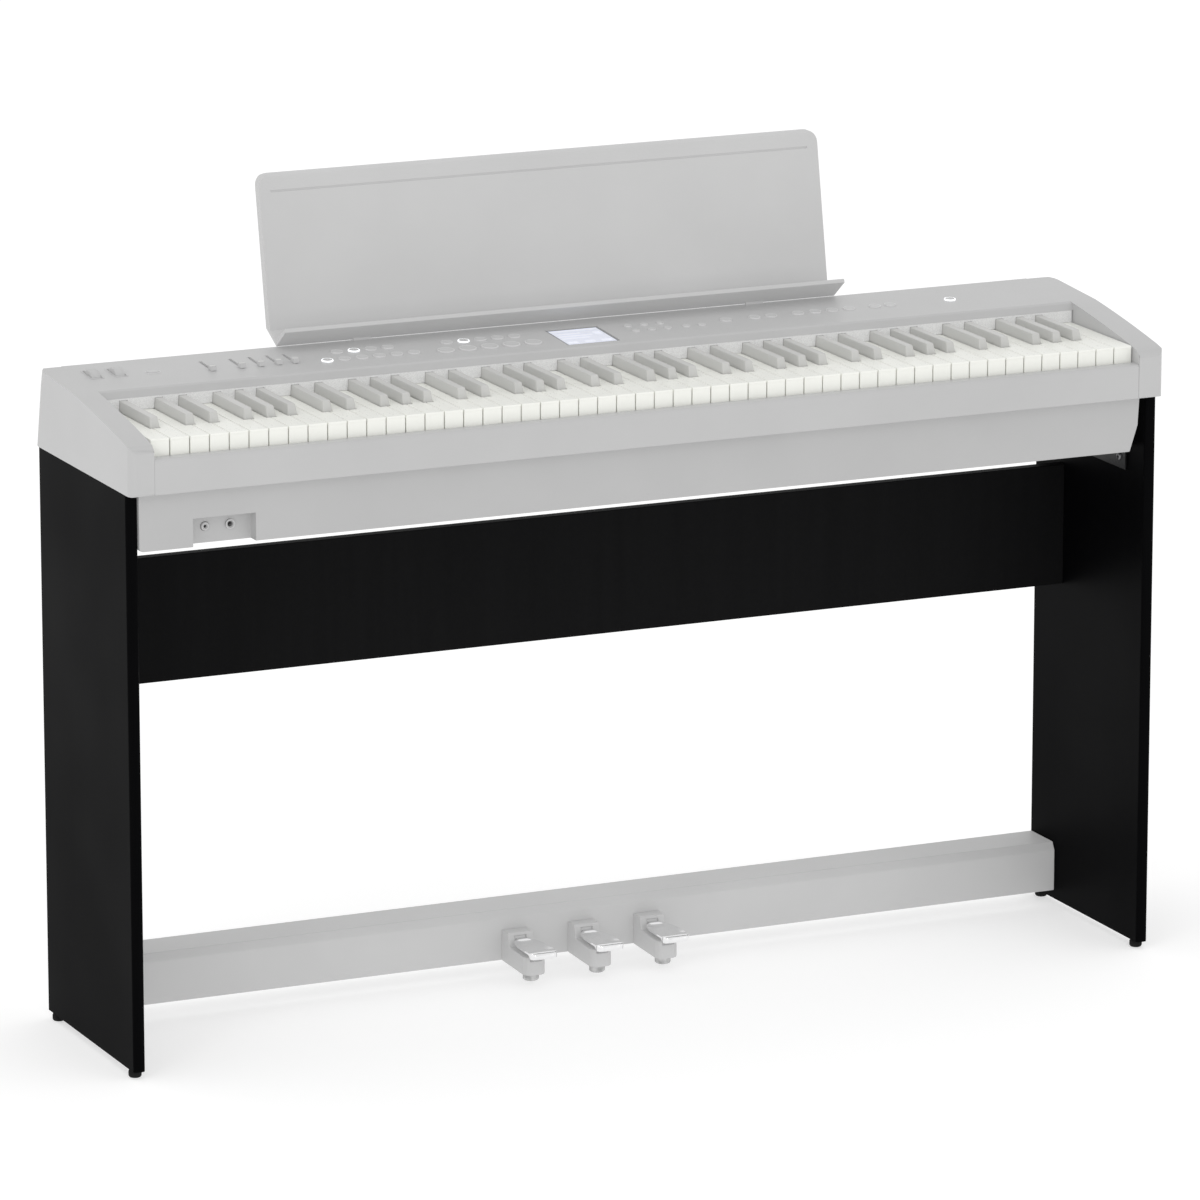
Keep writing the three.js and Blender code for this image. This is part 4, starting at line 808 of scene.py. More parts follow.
class PIANO_OT_pedals(PieceOperator, Operator):
    """Makes the three levers, their arms and their screw-out feet"""

    bl_idname = "piano.pedals"
    bl_label = "Make Pedals"

    def execute(self, context):
        for word in ("soft", "sostenuto", "damper"):
            softened(f"{word}_pedal_arm", f"{word}_arm_housing", "cabinet", "beam",
                     1.3 * MM, 3)
            self.make_lever(f"{word}_pedal", f"{word}_lever")
            self.make_foot(f"{word}_pedal_foot", f"{word}_foot")
        return {"FINISHED"}

    def make_lever(self, node, body):
        """Lever from its neck in the beam to the dished plate and its rolled front edge."""
        low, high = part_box(node)
        x = (low.x + high.x) / 2
        wide = (high.x - low.x) / 2
        length = high.y - low.y
        plate = 67 * MM
        stations = [length, 0.75 * length, plate + 3 * MM]
        stations += [plate - 0.02 * MM - 32 * MM * (1 - math.cos(half_pi_share(i, 12)))
                     for i in range(13)]
        stations += [30 * MM, 25 * MM, 20 * MM, 16 * MM, 12 * MM, 9 * MM, 7 * MM, 5.6 * MM,
                     4.4 * MM, 3.2 * MM, 2.2 * MM, 1.3 * MM, 0.6 * MM, 0.15 * MM]
        rows = [self.lever_section(x, low.y + s, s, plate, wide, high.z) for s in stations]
        bm = bmesh.new()
        stack(bm, rows)
        piece = put_piece(f"{node}_lever", bm, body, ["chrome"], [node], 60.0)
        weigh_normals(piece)
        self.make_block(node, body, x, high)

    def make_block(self, node, body, x, high):
        """Block on the lever's neck that fills the mouth of the arm's channel."""
        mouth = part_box(node.replace("pedal", "pedal_arm"))[1].y - 17 * MM
        half = 6.9 * MM
        outline = [(x - half, mouth + 1 * MM), (x + half, mouth + 1 * MM),
                   (x + half, mouth + 7 * MM), (x - half, mouth + 7 * MM)]
        bm = bmesh.new()
        prism(bm, outline, high.z - 11 * MM, high.z + 1.9 * MM, Matrix.Identity(4), 0.4 * MM)
        put_piece(f"{node}_block", bm, body, ["beam"], (), 30.0)

    def lever_section(self, x, y, s, plate, wide, top):
        """Closed loop across the lever at s from its tip."""
        neck = 6 * MM
        past = max(0.0, s - (plate - 32 * MM)) / (32 * MM)
        half = neck + (wide - neck) * math.sqrt(max(0.0, 1 - past ** 2))
        tip = max(0.0, 1 - s / (7 * MM))
        half -= wide * 0.42 * tip ** 2.4
        top_z = top
        low_z = top - 4.2 * MM - 1.2 * MM * smooth_step((s - plate) / (4 * MM))
        dish = 1.9 * MM * smooth_step((s - 5 * MM) / (9 * MM))
        dish *= smooth_step((plate - s) / (9 * MM))
        low_z -= 4.9 * MM * (1 - smooth_step((s - 3 * MM) / (8 * MM)))
        roll = 4.8 * MM
        if s < roll:
            fall = roll - math.sqrt(max(0.0, roll ** 2 - (roll - s) ** 2))
            top_z -= fall
            low_z += fall * 0.92
        points = []
        count = 16
        for i in range(count + 1):
            t = -1 + 2 * i / count
            rim = abs(t) ** 6
            z = top_z - dish * (1 - abs(t) ** 3.5) - rim * min(0.9 * MM, 0.3 * (top_z - low_z))
            points.append(Vector((x + half * t, y, z)))
        for i in range(count + 1):
            t = 1 - 2 * i / count
            z = low_z - dish * 0.2 * (1 - abs(t) ** 2.6)
            rim = abs(t) ** 6
            z += rim * min(0.9 * MM, 0.3 * (top_z - low_z))
            points.append(Vector((x + half * t * 0.985, y, z)))
        return points

    def make_foot(self, node, body):
        low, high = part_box(node)
        centre = (low + high) / 2
        radius = (high.x - low.x) / 2
        place = Matrix.Translation((centre.x, centre.y, low.z))
        ribs = [0.0, 0.0, -0.35 * MM, -0.35 * MM]
        grip = [(radius - 2.2 * MM, 0), (radius - 1.2 * MM, 0.4 * MM), (radius, 1.9 * MM),
                (radius, 7.2 * MM), (radius - 0.9 * MM, 8.3 * MM), (radius - 2 * MM, 8.6 * MM)]
        bm = bmesh.new()
        turned(bm, grip, place, 72, ribs)
        turned(bm, [(3.9 * MM, 8.5 * MM), (3.9 * MM, high.z - low.z)], place, 24)
        piece = put_piece(f"{node}_screw", bm, body, ["foot"], [node])
        weigh_normals(piece)


BUTT_EDGE = 0.05 * MM  # rounding where two mouldings meet
END_GAP = 0.36 * MM


def on_outer_ridge(side, sizes):
    """Edge widths for a cheek: wide on the outer ridge, next to nothing beside the deck."""
    low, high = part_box("left_cheek" if side < 0 else "right_cheek")
    outer = low.x if side < 0 else high.x
    inner = high.x if side < 0 else low.x

    def width_of(middle, way, edge):
        near_outer = abs(middle.x - outer) < 4 * MM
        along = abs(way.x) < 0.2
        if near_outer and along and middle.z > high.z - 45 * MM:
            return sizes.ridge
        if abs(middle.x - inner) < 3 * MM:
            return BUTT_EDGE
        return sizes.case_edge

    return width_of


def square_inner_corner(side):
    """Squares the small upright corner of a cheek that the front rail butts against."""
    low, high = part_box("left_cheek" if side < 0 else "right_cheek")
    inner = high.x if side < 0 else low.x
    reach = 2.06 * MM

    def face_y(bm, z):
        """Front of the cheek at a height, read from the verts clear of both corners."""
        on_face = [v.co for v in bm.verts if abs(v.co.x - inner) > reach
                   and abs(v.co.z - z) < 0.6 * MM and v.co.y < low.y + 30 * MM]
        return min((co.y for co in on_face), default=low.y)

    def reshape(bm):
        corner = [v for v in bm.verts if abs(v.co.x - inner) < reach
                  and v.co.y < low.y + 5 * MM]
        fronts = [face_y(bm, v.co.z) for v in corner]
        for vert, front in zip(corner, fronts):
            if vert.co.y < front + reach:
                vert.co.x = inner
                vert.co.y = front
        bmesh.ops.remove_doubles(bm, verts=bm.verts, dist=2e-5)
        bmesh.ops.dissolve_limit(bm, angle_limit=FLAT_ANGLE, verts=bm.verts, edges=bm.edges)

    return reshape


class PIANO_OT_cabinet(PieceOperator, Operator):
    """Finishes the cheeks, the front rail, the lower case and the top panel"""

    bl_idname = "piano.cabinet"
    bl_label = "Make Cabinet"

    def execute(self, context):
        sizes = context.scene.piano_sizes
        for side, word in ((-1, "left"), (1, "right")):
            softened(f"{word}_cheek", f"{word}_cheek_block", "cabinet", "case",
                     sizes.ridge, 4, on_outer_ridge(side, sizes), 25.0,
                     square_inner_corner(side))
        softened("front_rail", "front_rail_moulding", "cabinet", "case",
                 0.9 * MM, 2, reshape=self.close_ends)
        softened("lower_case", "lower_case_tray", "cabinet", "lower",
                 sizes.case_edge, 2, self.tray_edges)
        self.make_top_panel(sizes)
        return {"FINISHED"}

    @staticmethod
    def close_ends(bm):
        """Moves the two ends out until they meet the cheeks."""
        left = min(v.co.x for v in bm.verts)
        right = max(v.co.x for v in bm.verts)
        for vert in bm.verts:
            if vert.co.x - left < 1e-5:
                vert.co.x -= END_GAP
            elif right - vert.co.x < 1e-5:
                vert.co.x += END_GAP

    @staticmethod
    def tray_edges(middle, way, edge):
        low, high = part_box("lower_case")
        outer = (middle.y - low.y < 1 * MM or high.y - middle.y < 1 * MM
                 or middle.z - low.z < 1 * MM)
        long_edge = edge.calc_length() > 90 * MM
        return 1.2 * MM if outer and long_edge else 0.35 * MM

    def make_top_panel(self, sizes):
        low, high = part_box("top_panel")
        lip_y = low.y

        def width_of(middle, way, edge):
            if abs(way.x) > 0.9 and middle.y < lip_y + 10 * MM and middle.z > high.z - 14 * MM:
                return sizes.crease
            if middle.x - low.x < 1 * MM or high.x - middle.x < 1 * MM:
                return BUTT_EDGE
            if abs(way.x) > 0.9 and edge.calc_length() > 300 * MM:
                return 1.2 * MM
            return sizes.hole_edge

        softened("top_panel", "top_panel_moulding", "cabinet", "case",
                 sizes.crease, 4, width_of, 14.0, self.close_ends)


class PIANO_OT_inner_parts(PieceOperator, Operator):
    """Gives the key chassis, the main board and the speakers their finishes"""

    bl_idname = "piano.inner_parts"
    bl_label = "Finish Inner Parts"

    def execute(self, context):
        looks = {"key_chassis": "steel", "main_board": "board", "left_speaker": "cone",
                 "right_speaker": "cone"}
        for node, finish in looks.items():
            mesh = NODES[node].data
            mesh.materials.clear()
            mesh.materials.append(finish_of(finish))
        return {"FINISHED"}


class PIANO_OT_sockets(PieceOperator, Operator):
    """Finishes the headphone jacks and the sockets at the back"""

    bl_idname = "piano.sockets"
    bl_label = "Make Sockets"

    def execute(self, context):
        softened("headphone_jacks", "headphone_jack_block", "cabinet", "socket",
                 0.3 * MM, 2)
        softened("rear_sockets", "rear_socket_panel", "cabinet", "socket",
                 0.4 * MM, 2)
        self.make_jack_nuts()
        return {"FINISHED"}

    def make_jack_nuts(self):
        """Ring nuts round the two jacks, on the wall of the recess."""
        low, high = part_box("headphone_jacks")
        bm = bmesh.new()
        middle = (low.z + high.z) / 2
        for x, radius in ((low.x + 10 * MM, 3.0 * MM), (high.x - 10 * MM, 4.2 * MM)):
            place = frame_at((x, low.y + 0.05 * MM, middle), (0, -1, 0))
            self.tube(bm, place, radius, radius + 1.5 * MM, 1.0 * MM)
        put_piece("headphone_jack_nuts", bm, "cabinet", ["cap"], ())

    @staticmethod
    def tube(bm, place, inner, outer, height, count=32):
        """Ring with a rounded rim; its bore stays open."""
        profile = [(inner, 0.0), (outer, 0.0), (outer, 0.6 * height),
                   (outer - 0.25 * (outer - inner), height),
                   (inner + 0.25 * (outer - inner), height), (inner, 0.75 * height)]
        loops = [[place @ p for p in ring(r, z, count)] for r, z in profile]
        closed_tube(bm, loops)


def closed_tube(bm, loops):
    """Skin over loops, joined from the last back to the first, such as a ring."""
    rows = [[bm.verts.new(point) for point in loop] for loop in loops]
    rows.append(rows[0])
    count = len(rows[0])
    faces = []
    for low, high in zip(rows, rows[1:]):
        for i in range(count):
            j = (i + 1) % count
            faces.append(bm.faces.new((low[i], low[j], high[j], high[i])))
    return faces


# ---- keys ----------------------------------------------------------------------------------

KEY_SETS = 7
SET_KEYS = [9, 7, 7, 7, 7, 7, 8]
KEY_GAP = 1.0 * MM
NOTCH_SPARE = 1.1 * MM


def sharp_centres(number):
    """(centre, half width) of each sharp in a set, from the front foot of each."""
    verts = [v.co for v in NODES[f"black_keys_{number}"].data.vertices]
    front = min(v.y for v in verts)
    xs = [v.x for v in verts if v.y - front < 0.2 * MM]
    return [((min(group) + max(group)) / 2, (max(group) - min(group)) / 2)
            for group in groups_of(xs, 13 * MM)]


class PIANO_OT_white_keys(PieceOperator, Operator):
    """Makes the fifty-two white keys, one set for each octave"""

    bl_idname = "piano.white_keys"
    bl_label = "Make White Keys"

    def execute(self, context):
        sizes = context.scene.piano_sizes
        sharps = []
        for number in range(1, KEY_SETS + 1):
            sharps += sharp_centres(number)
        for number in range(1, KEY_SETS + 1):
            self.make_set(number, sharps, sizes)
        return {"FINISHED"}

    def make_set(self, number, sharps, sizes):
        node = f"white_keys_{number}"
        low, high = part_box(node)
        count = SET_KEYS[number - 1]
        pitch = (high.x - low.x + KEY_GAP) / count
        notch = min(v.co.y for v in NODES["black_keys_1"].data.vertices) - 1.5 * MM
        bm = bmesh.new()
        for index in range(count):
            x0 = low.x + index * pitch
            x1 = x0 + pitch - KEY_GAP
            self.make_key(bm, x0, x1, low, high, notch, sharps, sizes)
        piece = put_piece(f"{node}_tops", bm, f"white_set_{number}", ["white_key"], [node])
        weigh_normals(piece)

    def make_key(self, bm, x0, x1, low, high, notch, sharps, sizes):
        """One key: lipped top slab over a slightly set-back front, notched for its sharps."""
        tail0, tail1 = x0, x1
        for centre, half in sharps:
            if x0 - 8 * MM < centre < x0 + 8 * MM:
                tail0 = centre + half + NOTCH_SPARE
            if x1 - 8 * MM < centre < x1 + 8 * MM:
                tail1 = centre - half - NOTCH_SPARE
        rear = high.y
        corner = 0.9 * MM
        outline = [(x0, low.y + corner), (x0 + 0.35 * corner, low.y + 0.35 * corner),
                   (x0 + corner, low.y), (x1 - corner, low.y),
                   (x1 - 0.35 * corner, low.y + 0.35 * corner), (x1, low.y + corner)]
        if tail1 != x1:
            outline += [(x1, notch), (tail1, notch)]
        outline += [(tail1, rear), (tail0, rear)]
        if tail0 != x0:
            outline += [(tail0, notch), (x0, notch)]
        slab = high.z - 2.4 * MM
        front = [(x, y + sizes.key_lip if y < low.y + 2 * corner else y) for x, y in outline]
        loops = [[Vector((x, y, low.z)) for x, y in front],
                 [Vector((x, y, slab - 0.3 * MM)) for x, y in front],
                 [Vector((x, y, slab)) for x, y in outline]]
        for i in range(4):
            turn = half_pi_share(i, 3)
            inner = inset_outline(outline, sizes.key_edge * (1 - math.cos(turn)))
            z = high.z - sizes.key_edge * (1 - math.sin(turn))
            loops.append([Vector((p[0], p[1], z)) for p in inner])
        stack(bm, loops)


class PIANO_OT_sharps(PieceOperator, Operator):
    """Makes the thirty-six sharps, one set for each octave"""

    bl_idname = "piano.sharps"
    bl_label = "Make Sharps"

    def execute(self, context):
        sizes = context.scene.piano_sizes
        white_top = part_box("white_keys_1")[1].z
        for number in range(1, KEY_SETS + 1):
            node = f"black_keys_{number}"
            low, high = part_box(node)
            bm = bmesh.new()
            for centre, half in sharp_centres(number):
                self.make_sharp(bm, centre, half, low, high, white_top, sizes)
            piece = put_piece(f"{node}_tops", bm, f"black_set_{number}", ["sharp"], [node],
                              50.0)
            weigh_normals(piece)
        return {"FINISHED"}

    def make_sharp(self, bm, centre, half, low, high, white_top, sizes):
        """One sharp: straight foot, then tapering sides and a sloping, rounded front."""
        rise = high.z - white_top
        taper, slant = 0.8 * MM, 4.0 * MM
        edge = sizes.sharp_edge
        levels = [(low.z, 0.0), (white_top, 0.0), (white_top + 0.5 * rise, 0.0)]
        levels += [(high.z - edge * (1 - math.sin(half_pi_share(i, 4))),
                    edge * (1 - math.cos(half_pi_share(i, 4)))) for i in range(5)]
        loops = []
        for z, draw in levels:
            share = max(0.0, (z - white_top) / rise)
            wide = half - taper * share - draw
            front = low.y + slant * share ** 1.3 + draw
            outline = self.outline(centre, wide, front, high.y - draw, 1.5 * MM)
            loops.append([Vector((x, y, z)) for x, y in outline])
        stack(bm, loops)

    @staticmethod
    def outline(centre, wide, front, rear, corner):
        points = []
        for side, start in ((-1, math.pi), (1, 1.5 * math.pi)):
            for i in range(5):
                angle = start + half_pi_share(i, 4)
                points.append((centre + side * (wide - corner) + corner * math.cos(angle),
                               front + corner + corner * math.sin(angle)))
        return points + [(centre + wide, rear), (centre - wide, rear)]


class PIANO_OT_key_felt(PieceOperator, Operator):
    """Makes the felt that closes the gap over the keys, cut out round each sharp"""

    bl_idname = "piano.key_felt"
    bl_label = "Make Key Felt"

    def execute(self, context):
        panel_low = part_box("top_panel")[0]
        white_low, white_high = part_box("white_keys_1")
        black_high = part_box("black_keys_1")[1]
        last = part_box(f"white_keys_{KEY_SETS}")[1].x
        bottom = white_high.z + 0.4 * MM
        roof = black_high.z + 0.3 * MM
        top = black_high.z + 2.45 * MM
        outline = [(white_low.x, top), (white_low.x, bottom)]
        for number in range(1, KEY_SETS + 1):
            for centre, half in sharp_centres(number):
                spare = half + 0.35 * MM
                outline += [(centre - spare, bottom), (centre - spare + 0.7 * MM, roof),
                            (centre + spare - 0.7 * MM, roof), (centre + spare, bottom)]
        outline += [(last, bottom), (last, top)]
        bm = bmesh.new()
        y0 = panel_low.y + 0.25 * MM
        loops = [[Vector((x, y, z)) for x, z in outline] for y in (y0, y0 + 2.2 * MM)]
        stack(bm, loops)
        put_piece("key_felt_strip", bm, "cabinet", ["felt"], ())
        return {"FINISHED"}


class PIANO_OT_music_rest(PieceOperator, Operator):
    """Finishes the music rest"""

    bl_idname = "piano.music_rest"
    bl_label = "Make Music Rest"

    def execute(self, context):
        width = context.scene.piano_sizes.rest_edge
        low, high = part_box("music_rest")

        def width_of(middle, way, edge):
            inner_groove = middle.z > high.z - 30 * MM and middle.z < high.z - 12 * MM
            return 0.25 * MM if inner_groove and abs(way.x) > 0.9 else width

        softened("music_rest", "music_rest_sheet", "music_rest", "rest",
                 width, 3, width_of, 24.0)
        return {"FINISHED"}


# ---- controls on the deck ------------------------------------------------------------------

# Where along X each lit cap stands, in metres
LIT_CAPS = {"rhythm_buttons": (-0.3226, -0.2773), "tone_buttons": (-0.1415,),
            "registration_button": (0.4795,)}


class PIANO_OT_buttons(PieceOperator, Operator):
    """Makes the round buttons with their ring lamps, and the power button"""

    bl_idname = "piano.buttons"
    bl_label = "Make Buttons"

    def execute(self, context):
        for word in ("rhythm", "tone", "menu", "function"):
            self.make_set(f"{word}_buttons")
        self.make_set("registration_button")
        self.make_power_button()
        return {"FINISHED"}

    def make_set(self, node):
        caps = bmesh.new()
        collars = bmesh.new()
        for x, along, radius in caps_of(node):
            lit = any(abs(x - lamp_x) < 1.5 * MM for lamp_x in LIT_CAPS.get(node, ()))
            place = deck_place(x, along)
            self.make_cap(caps, place, radius)
            self.make_collar(collars, place, radius, 1 if lit else 0)
        piece = put_piece(f"{node}_caps", caps, node, ["cap"], [node], 30.0)
        weigh_normals(piece)
        put_piece(f"{node}_collars", collars, "cabinet", ["ring", "lit"], (),
                  40.0)

    @staticmethod
    def make_cap(bm, place, radius):
        """Cap with a rounded rim and a dished middle."""
        top = 1.4 * MM
        profile = [(radius, -7 * MM), (radius, top - 0.5 * MM), (0.97 * radius, top - 0.14 * MM),
                   (0.92 * radius, top), (0.74 * radius, top - 0.16 * MM),
                   (0.45 * radius, top - 0.3 * MM), (0.12 * radius, top - 0.36 * MM)]
        turned(bm, profile, place, 36)

    @staticmethod
    def make_collar(bm, place, radius, material):
        """Ring standing round a cap: a narrow light guide when lit, else plain and wider."""
        reach = (0.13 if material else 0.22) * radius
        profile = [(radius + 0.12 * MM, -0.3 * MM), (radius + reach, -0.3 * MM),
                   (radius + reach, 0.9 * MM), (radius + 0.8 * reach, 1.25 * MM),
                   (radius + 0.3 * reach, 1.3 * MM), (radius + 0.12 * MM, 1.15 * MM)]
        loops = [[place @ p for p in ring(r, z, 36)] for r, z in profile]
        for face in closed_tube(bm, loops):
            face.material_index = material

    def make_power_button(self):
        """Oval button inside an oval rim."""
        points = [on_deck(v.co) for v in NODES["power_button"].data.vertices]
        x, along, half_x, half_y = middle_and_half([p for p in points if p[2] > 0.8 * MM])
        outline = rounded_box_outline(-half_x, half_x, -half_y, half_y, half_y * 0.998, 8)
        place = deck_place(x, along)
        bm = bmesh.new()
        prism(bm, outline, -7 * MM, 1.4 * MM, place, 0.6 * MM)
        put_piece("power_button_cap", bm, "power_button", ["cap"], ["power_button"],
                  30.0)
        rim = bmesh.new()
        outer = inset_outline(outline, -2.2 * MM)
        inner = inset_outline(outline, -0.75 * MM)
        middle_out = inset_outline(outline, -1.8 * MM)
        middle_in = inset_outline(outline, -1.1 * MM)
        loops = [(inner, 0.05), (outer, 0.05), (outer, 0.3), (middle_out, 0.6),
                 (middle_in, 0.6), (inner, 0.3)]
        closed_tube(rim, placed(place, [(line, z * MM) for line, z in loops]))
        put_piece("power_button_rim", rim, "cabinet", ["ring"], (), 30.0)


class PIANO_OT_display(PieceOperator, Operator):
    """Makes the lit screen in its dark surround"""

    bl_idname = "piano.display"
    bl_label = "Make Display"

    def execute(self, context):
        points = [on_deck(v.co) for v in NODES["display"].data.vertices]
        x, along, half_x, half_y = middle_and_half(points)
        bottom = min(p[2] for p in points)
        place = deck_place(x, along)
        bm = bmesh.new()
        glass = [(0.0, 1.2 * MM, bottom), (0.0, 1.2 * MM, -0.62 * MM),
                 (0.25 * MM, 1.0 * MM, -0.5 * MM), (2.2 * MM, 0.6 * MM, -0.5 * MM),
                 (2.5 * MM, 0.4 * MM, -0.7 * MM)]
        rows = []
        for inset, corner, z in glass:
            reach_x, reach_y = half_x - inset, half_y - inset
            outline = rounded_box_outline(-reach_x, reach_x, -reach_y, reach_y, corner)
            rows.append([place @ Vector((p[0], p[1], z)) for p in outline])
        faces = stack(bm, rows)
        faces[-1].material_index = 1
        self.add_marks(bm, place, half_x - 2.5 * MM, half_y - 2.5 * MM)
        put_piece("display_screen", bm, "cabinet", ["bezel", "screen", "mark"], ["display"],
                  30.0)
        return {"FINISHED"}

    @staticmethod
    def add_marks(bm, place, half_x, half_y):
        """Plain bars and boxes of a generic menu page, a hair over the screen."""
        bars = [(-0.96, 0.96, 0.78, 0.95), (-0.9, 0.1, 0.38, 0.5), (-0.9, 0.45, 0.08, 0.2),
                (-0.9, 0.25, -0.22, -0.1), (0.62, 0.9, 0.1, 0.5), (-0.9, -0.5, -0.82, -0.6),
                (-0.2, 0.2, -0.82, -0.6), (0.5, 0.9, -0.82, -0.6)]
        for x0, x1, y0, y1 in bars:
            outline = [(x0 * half_x, y0 * half_y), (x1 * half_x, y0 * half_y),
                       (x1 * half_x, y1 * half_y), (x0 * half_x, y1 * half_y)]
            prism(bm, outline, -0.69 * MM, -0.66 * MM, place, material=2)


class PIANO_OT_wheels(PieceOperator, Operator):
    """Makes the ribbed thumb wheels and the rims of their slots"""

    bl_idname = "piano.wheels"
    bl_label = "Make Thumb Wheels"

    def execute(self, context):
        ribs = context.scene.piano_sizes.wheel_ribs
        for node in ("pitch_wheel", "modulation_wheel"):
            self.make_wheel(node, ribs)
            self.make_rim(node)
        return {"FINISHED"}

    def make_wheel(self, node, ribs):
        """Disc with round-bottomed ribs and a deeper thumb notch at its top."""
        low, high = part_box(node)
        pivot = Vector(JOINTS[f"{node}_turn"]["pos_m"])
        centre = Vector(((low.x + high.x) / 2, pivot.y, pivot.z))
        radius = (high.y - low.y) / 2
        half = (high.x - low.x) / 2 - 2.5 * MM
        place = frame_at(centre, (1, 0, 0), (0, 1, 0))
        count = ribs * 4
        up = place.inverted().to_3x3() @ DECK_UP
        top_angle = math.atan2(up.y, up.x)
        reach = []
        for i in range(count):
            angle = 2 * math.pi * i / count
            rib = 0.45 * MM * (0.5 - 0.5 * math.cos(ribs * angle))
            away = math.remainder(angle - top_angle, 2 * math.pi)
            dip = 1.5 * MM * math.exp(-(away / 0.16) ** 2)
            reach.append(radius - rib - dip)
        steps = [(-half, 1.3), (-half, 0.75), (-half + 0.75 * MM, 0.0),
                 (half - 0.75 * MM, 0.0), (half, 0.75), (half, 1.3)]
        loops = []
        for depth, draw in steps:
            loop = []
            for i in range(count):
                angle = 2 * math.pi * i / count
                r = reach[i] - draw * MM if draw < 1 else radius - 2.4 * MM
                loop.append(place @ Vector((r * math.cos(angle), r * math.sin(angle), depth)))
            loops.append(loop)
        bm = bmesh.new()
        stack(bm, loops)
        turned(bm, [(3 * MM, -half - 2.5 * MM), (3 * MM, -half)], place, 24)
        turned(bm, [(3 * MM, half), (3 * MM, half + 2.5 * MM)], place, 24)
        put_piece(f"{node}_disc", bm, node, ["cap"], [node], 50.0)

    def make_rim(self, node):
        """Raised rim round a wheel's slot."""
        low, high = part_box(node)
        x, along, height = on_deck(Vector(((low.x + high.x) / 2, *self.pivot_yz(node))))
        radius = (high.y - low.y) / 2
        half_y = math.sqrt(max(0.0, radius ** 2 - (height + 3 * MM) ** 2)) + 2.4 * MM
        half_x = (high.x - low.x) / 2 - 2.5 * MM + 1.0 * MM
        slot_outline = rounded_box_outline(-half_x, half_x, -half_y, half_y, 0.8 * MM)
        place = deck_place(x, along)
        outer = inset_outline(slot_outline, -2.0 * MM)
        loops = [(slot_outline, 0.03), (outer, 0.03), (outer, 0.3),
                 (inset_outline(slot_outline, -1.6 * MM), 0.65),
                 (inset_outline(slot_outline, -0.5 * MM), 0.65), (slot_outline, 0.3)]
        bm = bmesh.new()
        closed_tube(bm, placed(place, [(line, z * MM) for line, z in loops]))
        put_piece(f"{node}_rim", bm, "cabinet", ["case"], (), 30.0)

    @staticmethod
    def pivot_yz(node):
        origin = JOINTS[f"{node}_turn"]["pos_m"]
        return origin[1], origin[2]


class PIANO_OT_sliders(PieceOperator, Operator):
    """Finishes the slider knobs, with a white line on each and a rim round each slot"""

    bl_idname = "piano.sliders"
    bl_label = "Make Sliders"

    def execute(self, context):
        for number in range(1, 6):
            node = f"slider_{number}"
            softened(node, f"{node}_knob", node, "cap", 0.45 * MM, 2)
            self.make_line(node)
            self.make_rim(node)
        return {"FINISHED"}

    def knob(self, node):
        points = [on_deck(v.co) for v in NODES[node].data.vertices]
        proud = [p for p in points if p[2] > 0.5 * MM]
        return (min(p[0] for p in proud), max(p[0] for p in proud),
                min(p[1] for p in proud), max(p[1] for p in proud),
                max(p[2] for p in proud))

    def make_line(self, node):
        """White pointer line across the middle of a knob."""
        x0, x1, y0, y1, top = self.knob(node)
        place = deck_place((x0 + x1) / 2, (y0 + y1) / 2)
        half = (x1 - x0) / 2 - 0.35 * MM
        outline = [(-half, -0.4 * MM), (half, -0.4 * MM), (half, 0.4 * MM), (-half, 0.4 * MM)]
        bm = bmesh.new()
        prism(bm, outline, top - 1.35 * MM, top - 0.98 * MM, place, 0.05 * MM, 1)
        put_piece(f"{node}_line", bm, node, ["white_key"], (), 30.0)

    def make_rim(self, node):
        """Low rim round a slot in the case's colour, with a strip down each of its walls."""
        x0, x1, y0, y1, top = self.knob(node)
        place = deck_place((x0 + x1) / 2, y0 - 1 * MM + 22 * MM)
        slot_outline = rounded_box_outline(-1.7 * MM, 1.7 * MM, -22 * MM, 22 * MM, 0.3 * MM, 2)
        outer = inset_outline(slot_outline, -1.1 * MM)
        loops = [(slot_outline, 0.02), (outer, 0.02), (outer, 0.15),
                 (inset_outline(slot_outline, -0.8 * MM), 0.3),
                 (inset_outline(slot_outline, -0.2 * MM), 0.3), (slot_outline, 0.15)]
        bm = bmesh.new()
        closed_tube(bm, placed(place, [(line, z * MM) for line, z in loops]))
        for side in (-1, 1):
            strip = [(side * 1.05 * MM, -21.9 * MM), (side * 1.68 * MM, -21.9 * MM),
                     (side * 1.68 * MM, 21.9 * MM), (side * 1.05 * MM, 21.9 * MM)]
            prism(bm, strip, -1.6 * MM, -0.5 * MM, place)
        put_piece(f"{node}_slot_rim", bm, "cabinet", ["case"], (), 30.0)


# ---- stage ---------------------------------------------------------------------------------


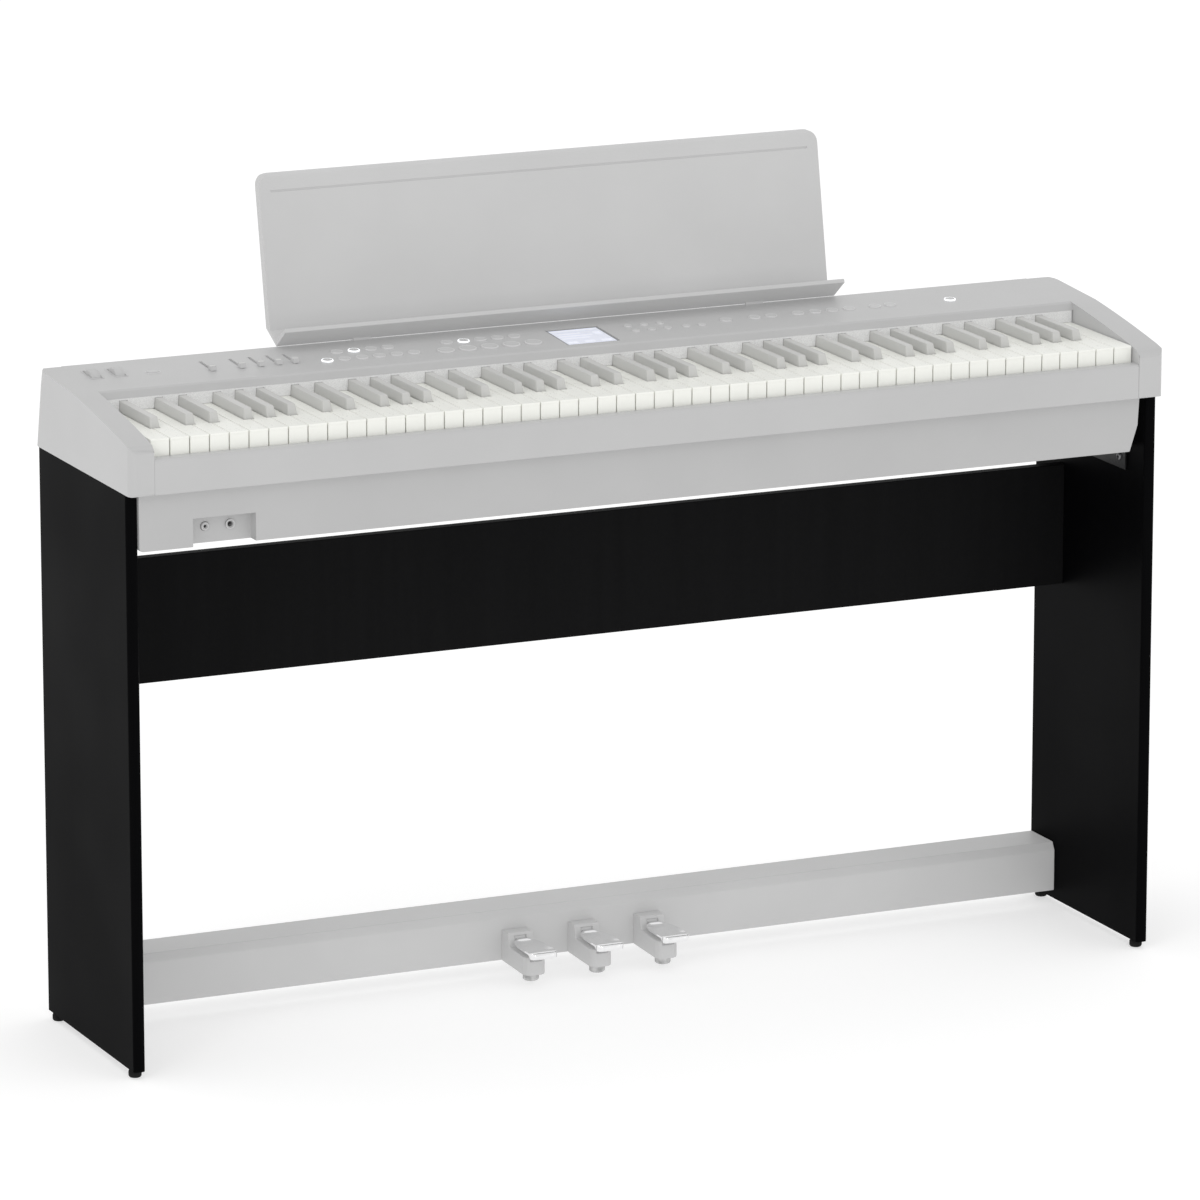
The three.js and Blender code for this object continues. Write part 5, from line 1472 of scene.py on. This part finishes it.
class PIANO_OT_stage(PieceOperator, Operator):
    """Sets the floor, the soft lights, the sky and the camera"""

    bl_idname = "piano.stage"
    bl_label = "Set Stage"

    def execute(self, context):
        stage = context.scene.piano_stage
        self.make_floor(context.scene)
        self.make_sky(context.scene, stage.sky)
        aim = Vector((0, 0, 0.5))
        self.make_light("key_light", stage.key_light, (-4.0, -3.0, 3.0), aim, 1.3)
        self.make_light("fill_light", stage.fill_light, (3.6, -4.4, 2.0), aim, 3.0)
        self.make_light("top_light", stage.top_light, (0.0, 0.6, 4.6), aim, 3.6)
        self.make_light("front_light", stage.front_light, (-1.4, -6.6, 1.9), aim, 0.8)
        self.make_camera(context.scene, stage)
        context.scene.view_settings.view_transform = "Standard"
        context.scene.view_settings.look = "None"
        return {"FINISHED"}

    @staticmethod
    def make_floor(scene):
        bm = bmesh.new()
        bmesh.ops.create_grid(bm, x_segments=8, y_segments=8, size=60.0)
        mesh = bpy.data.meshes.new("studio_floor")
        bm.to_mesh(mesh)
        bm.free()
        mesh.materials.append(floor_finish("studio_floor", tuple(scene.piano_colours.floor)))
        floor = bpy.data.objects.new("studio_floor", mesh)
        floor.location.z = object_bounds()[0].z - 0.0002
        scene.collection.objects.link(floor)
        floor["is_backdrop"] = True

    @staticmethod
    def make_sky(scene, strength):
        world = bpy.data.worlds.new("studio_sky")
        world.use_nodes = True
        back = world.node_tree.nodes["Background"]
        back.inputs["Color"].default_value = (1.0, 1.0, 1.0, 1.0)
        back.inputs["Strength"].default_value = strength
        scene.world = world

    @staticmethod
    def make_light(name, power, place, aim, size):
        data = bpy.data.lights.new(name, "AREA")
        data.energy = power
        data.shape = "DISK"
        data.size = size
        light = bpy.data.objects.new(name, data)
        light.location = place
        way = aim - Vector(place)
        light.rotation_mode = "QUATERNION"
        light.rotation_quaternion = way.to_track_quat("-Z", "Y")
        bpy.context.scene.collection.objects.link(light)

    @staticmethod
    def make_camera(scene, stage):
        data = bpy.data.cameras.new("camera")
        data.lens = stage.lens
        data.sensor_width = 36.0
        data.clip_start = 0.05
        data.clip_end = 200.0
        camera = bpy.data.objects.new("camera", data)
        camera.location = (-3.63904, -8.01413, 2.59238)
        camera.rotation_euler = (0.5 * math.pi - stage.tilt, 0.0, -stage.heading)
        scene.collection.objects.link(camera)
        scene.camera = camera


# ---- panel and registration ----------------------------------------------------------------

OPERATORS = (
    PIANO_OT_finishes, PIANO_OT_boards, PIANO_OT_glides, PIANO_OT_brackets,
    PIANO_OT_pedal_beam, PIANO_OT_pedals, PIANO_OT_cabinet, PIANO_OT_inner_parts,
    PIANO_OT_sockets, PIANO_OT_white_keys, PIANO_OT_sharps, PIANO_OT_key_felt,
    PIANO_OT_music_rest, PIANO_OT_buttons, PIANO_OT_display, PIANO_OT_wheels,
    PIANO_OT_sliders, PIANO_OT_stage,
)


class PIANO_PT_pieces(Panel):
    """Shows the piano's settings and the buttons that make its pieces"""

    bl_label = "Digital Piano"
    bl_idname = "PIANO_PT_pieces"
    bl_space_type = "VIEW_3D"
    bl_region_type = "UI"
    bl_category = "Piano"

    def draw(self, context):
        for group in ("piano_colours", "piano_sizes", "piano_stage"):
            box = self.layout.box()
            settings = getattr(context.scene, group)
            for name in settings.__annotations__:
                box.prop(settings, name)
        for operator in OPERATORS:
            self.layout.operator(operator.bl_idname)


CLASSES = (PianoColours, PianoSizes, PianoStage, *OPERATORS, PIANO_PT_pieces)


def register():
    for cls in CLASSES:
        bpy.utils.register_class(cls)
    bpy.types.Scene.piano_colours = PointerProperty(type=PianoColours)
    bpy.types.Scene.piano_sizes = PointerProperty(type=PianoSizes)
    bpy.types.Scene.piano_stage = PointerProperty(type=PianoStage)


def unregister():
    del bpy.types.Scene.piano_stage
    del bpy.types.Scene.piano_sizes
    del bpy.types.Scene.piano_colours
    for cls in reversed(CLASSES):
        bpy.utils.unregister_class(cls)


def main():
    register()
    for operator in OPERATORS:
        group, name = operator.bl_idname.split(".")
        getattr(getattr(bpy.ops, group), name)()


if __name__ == "__main__":
    main()
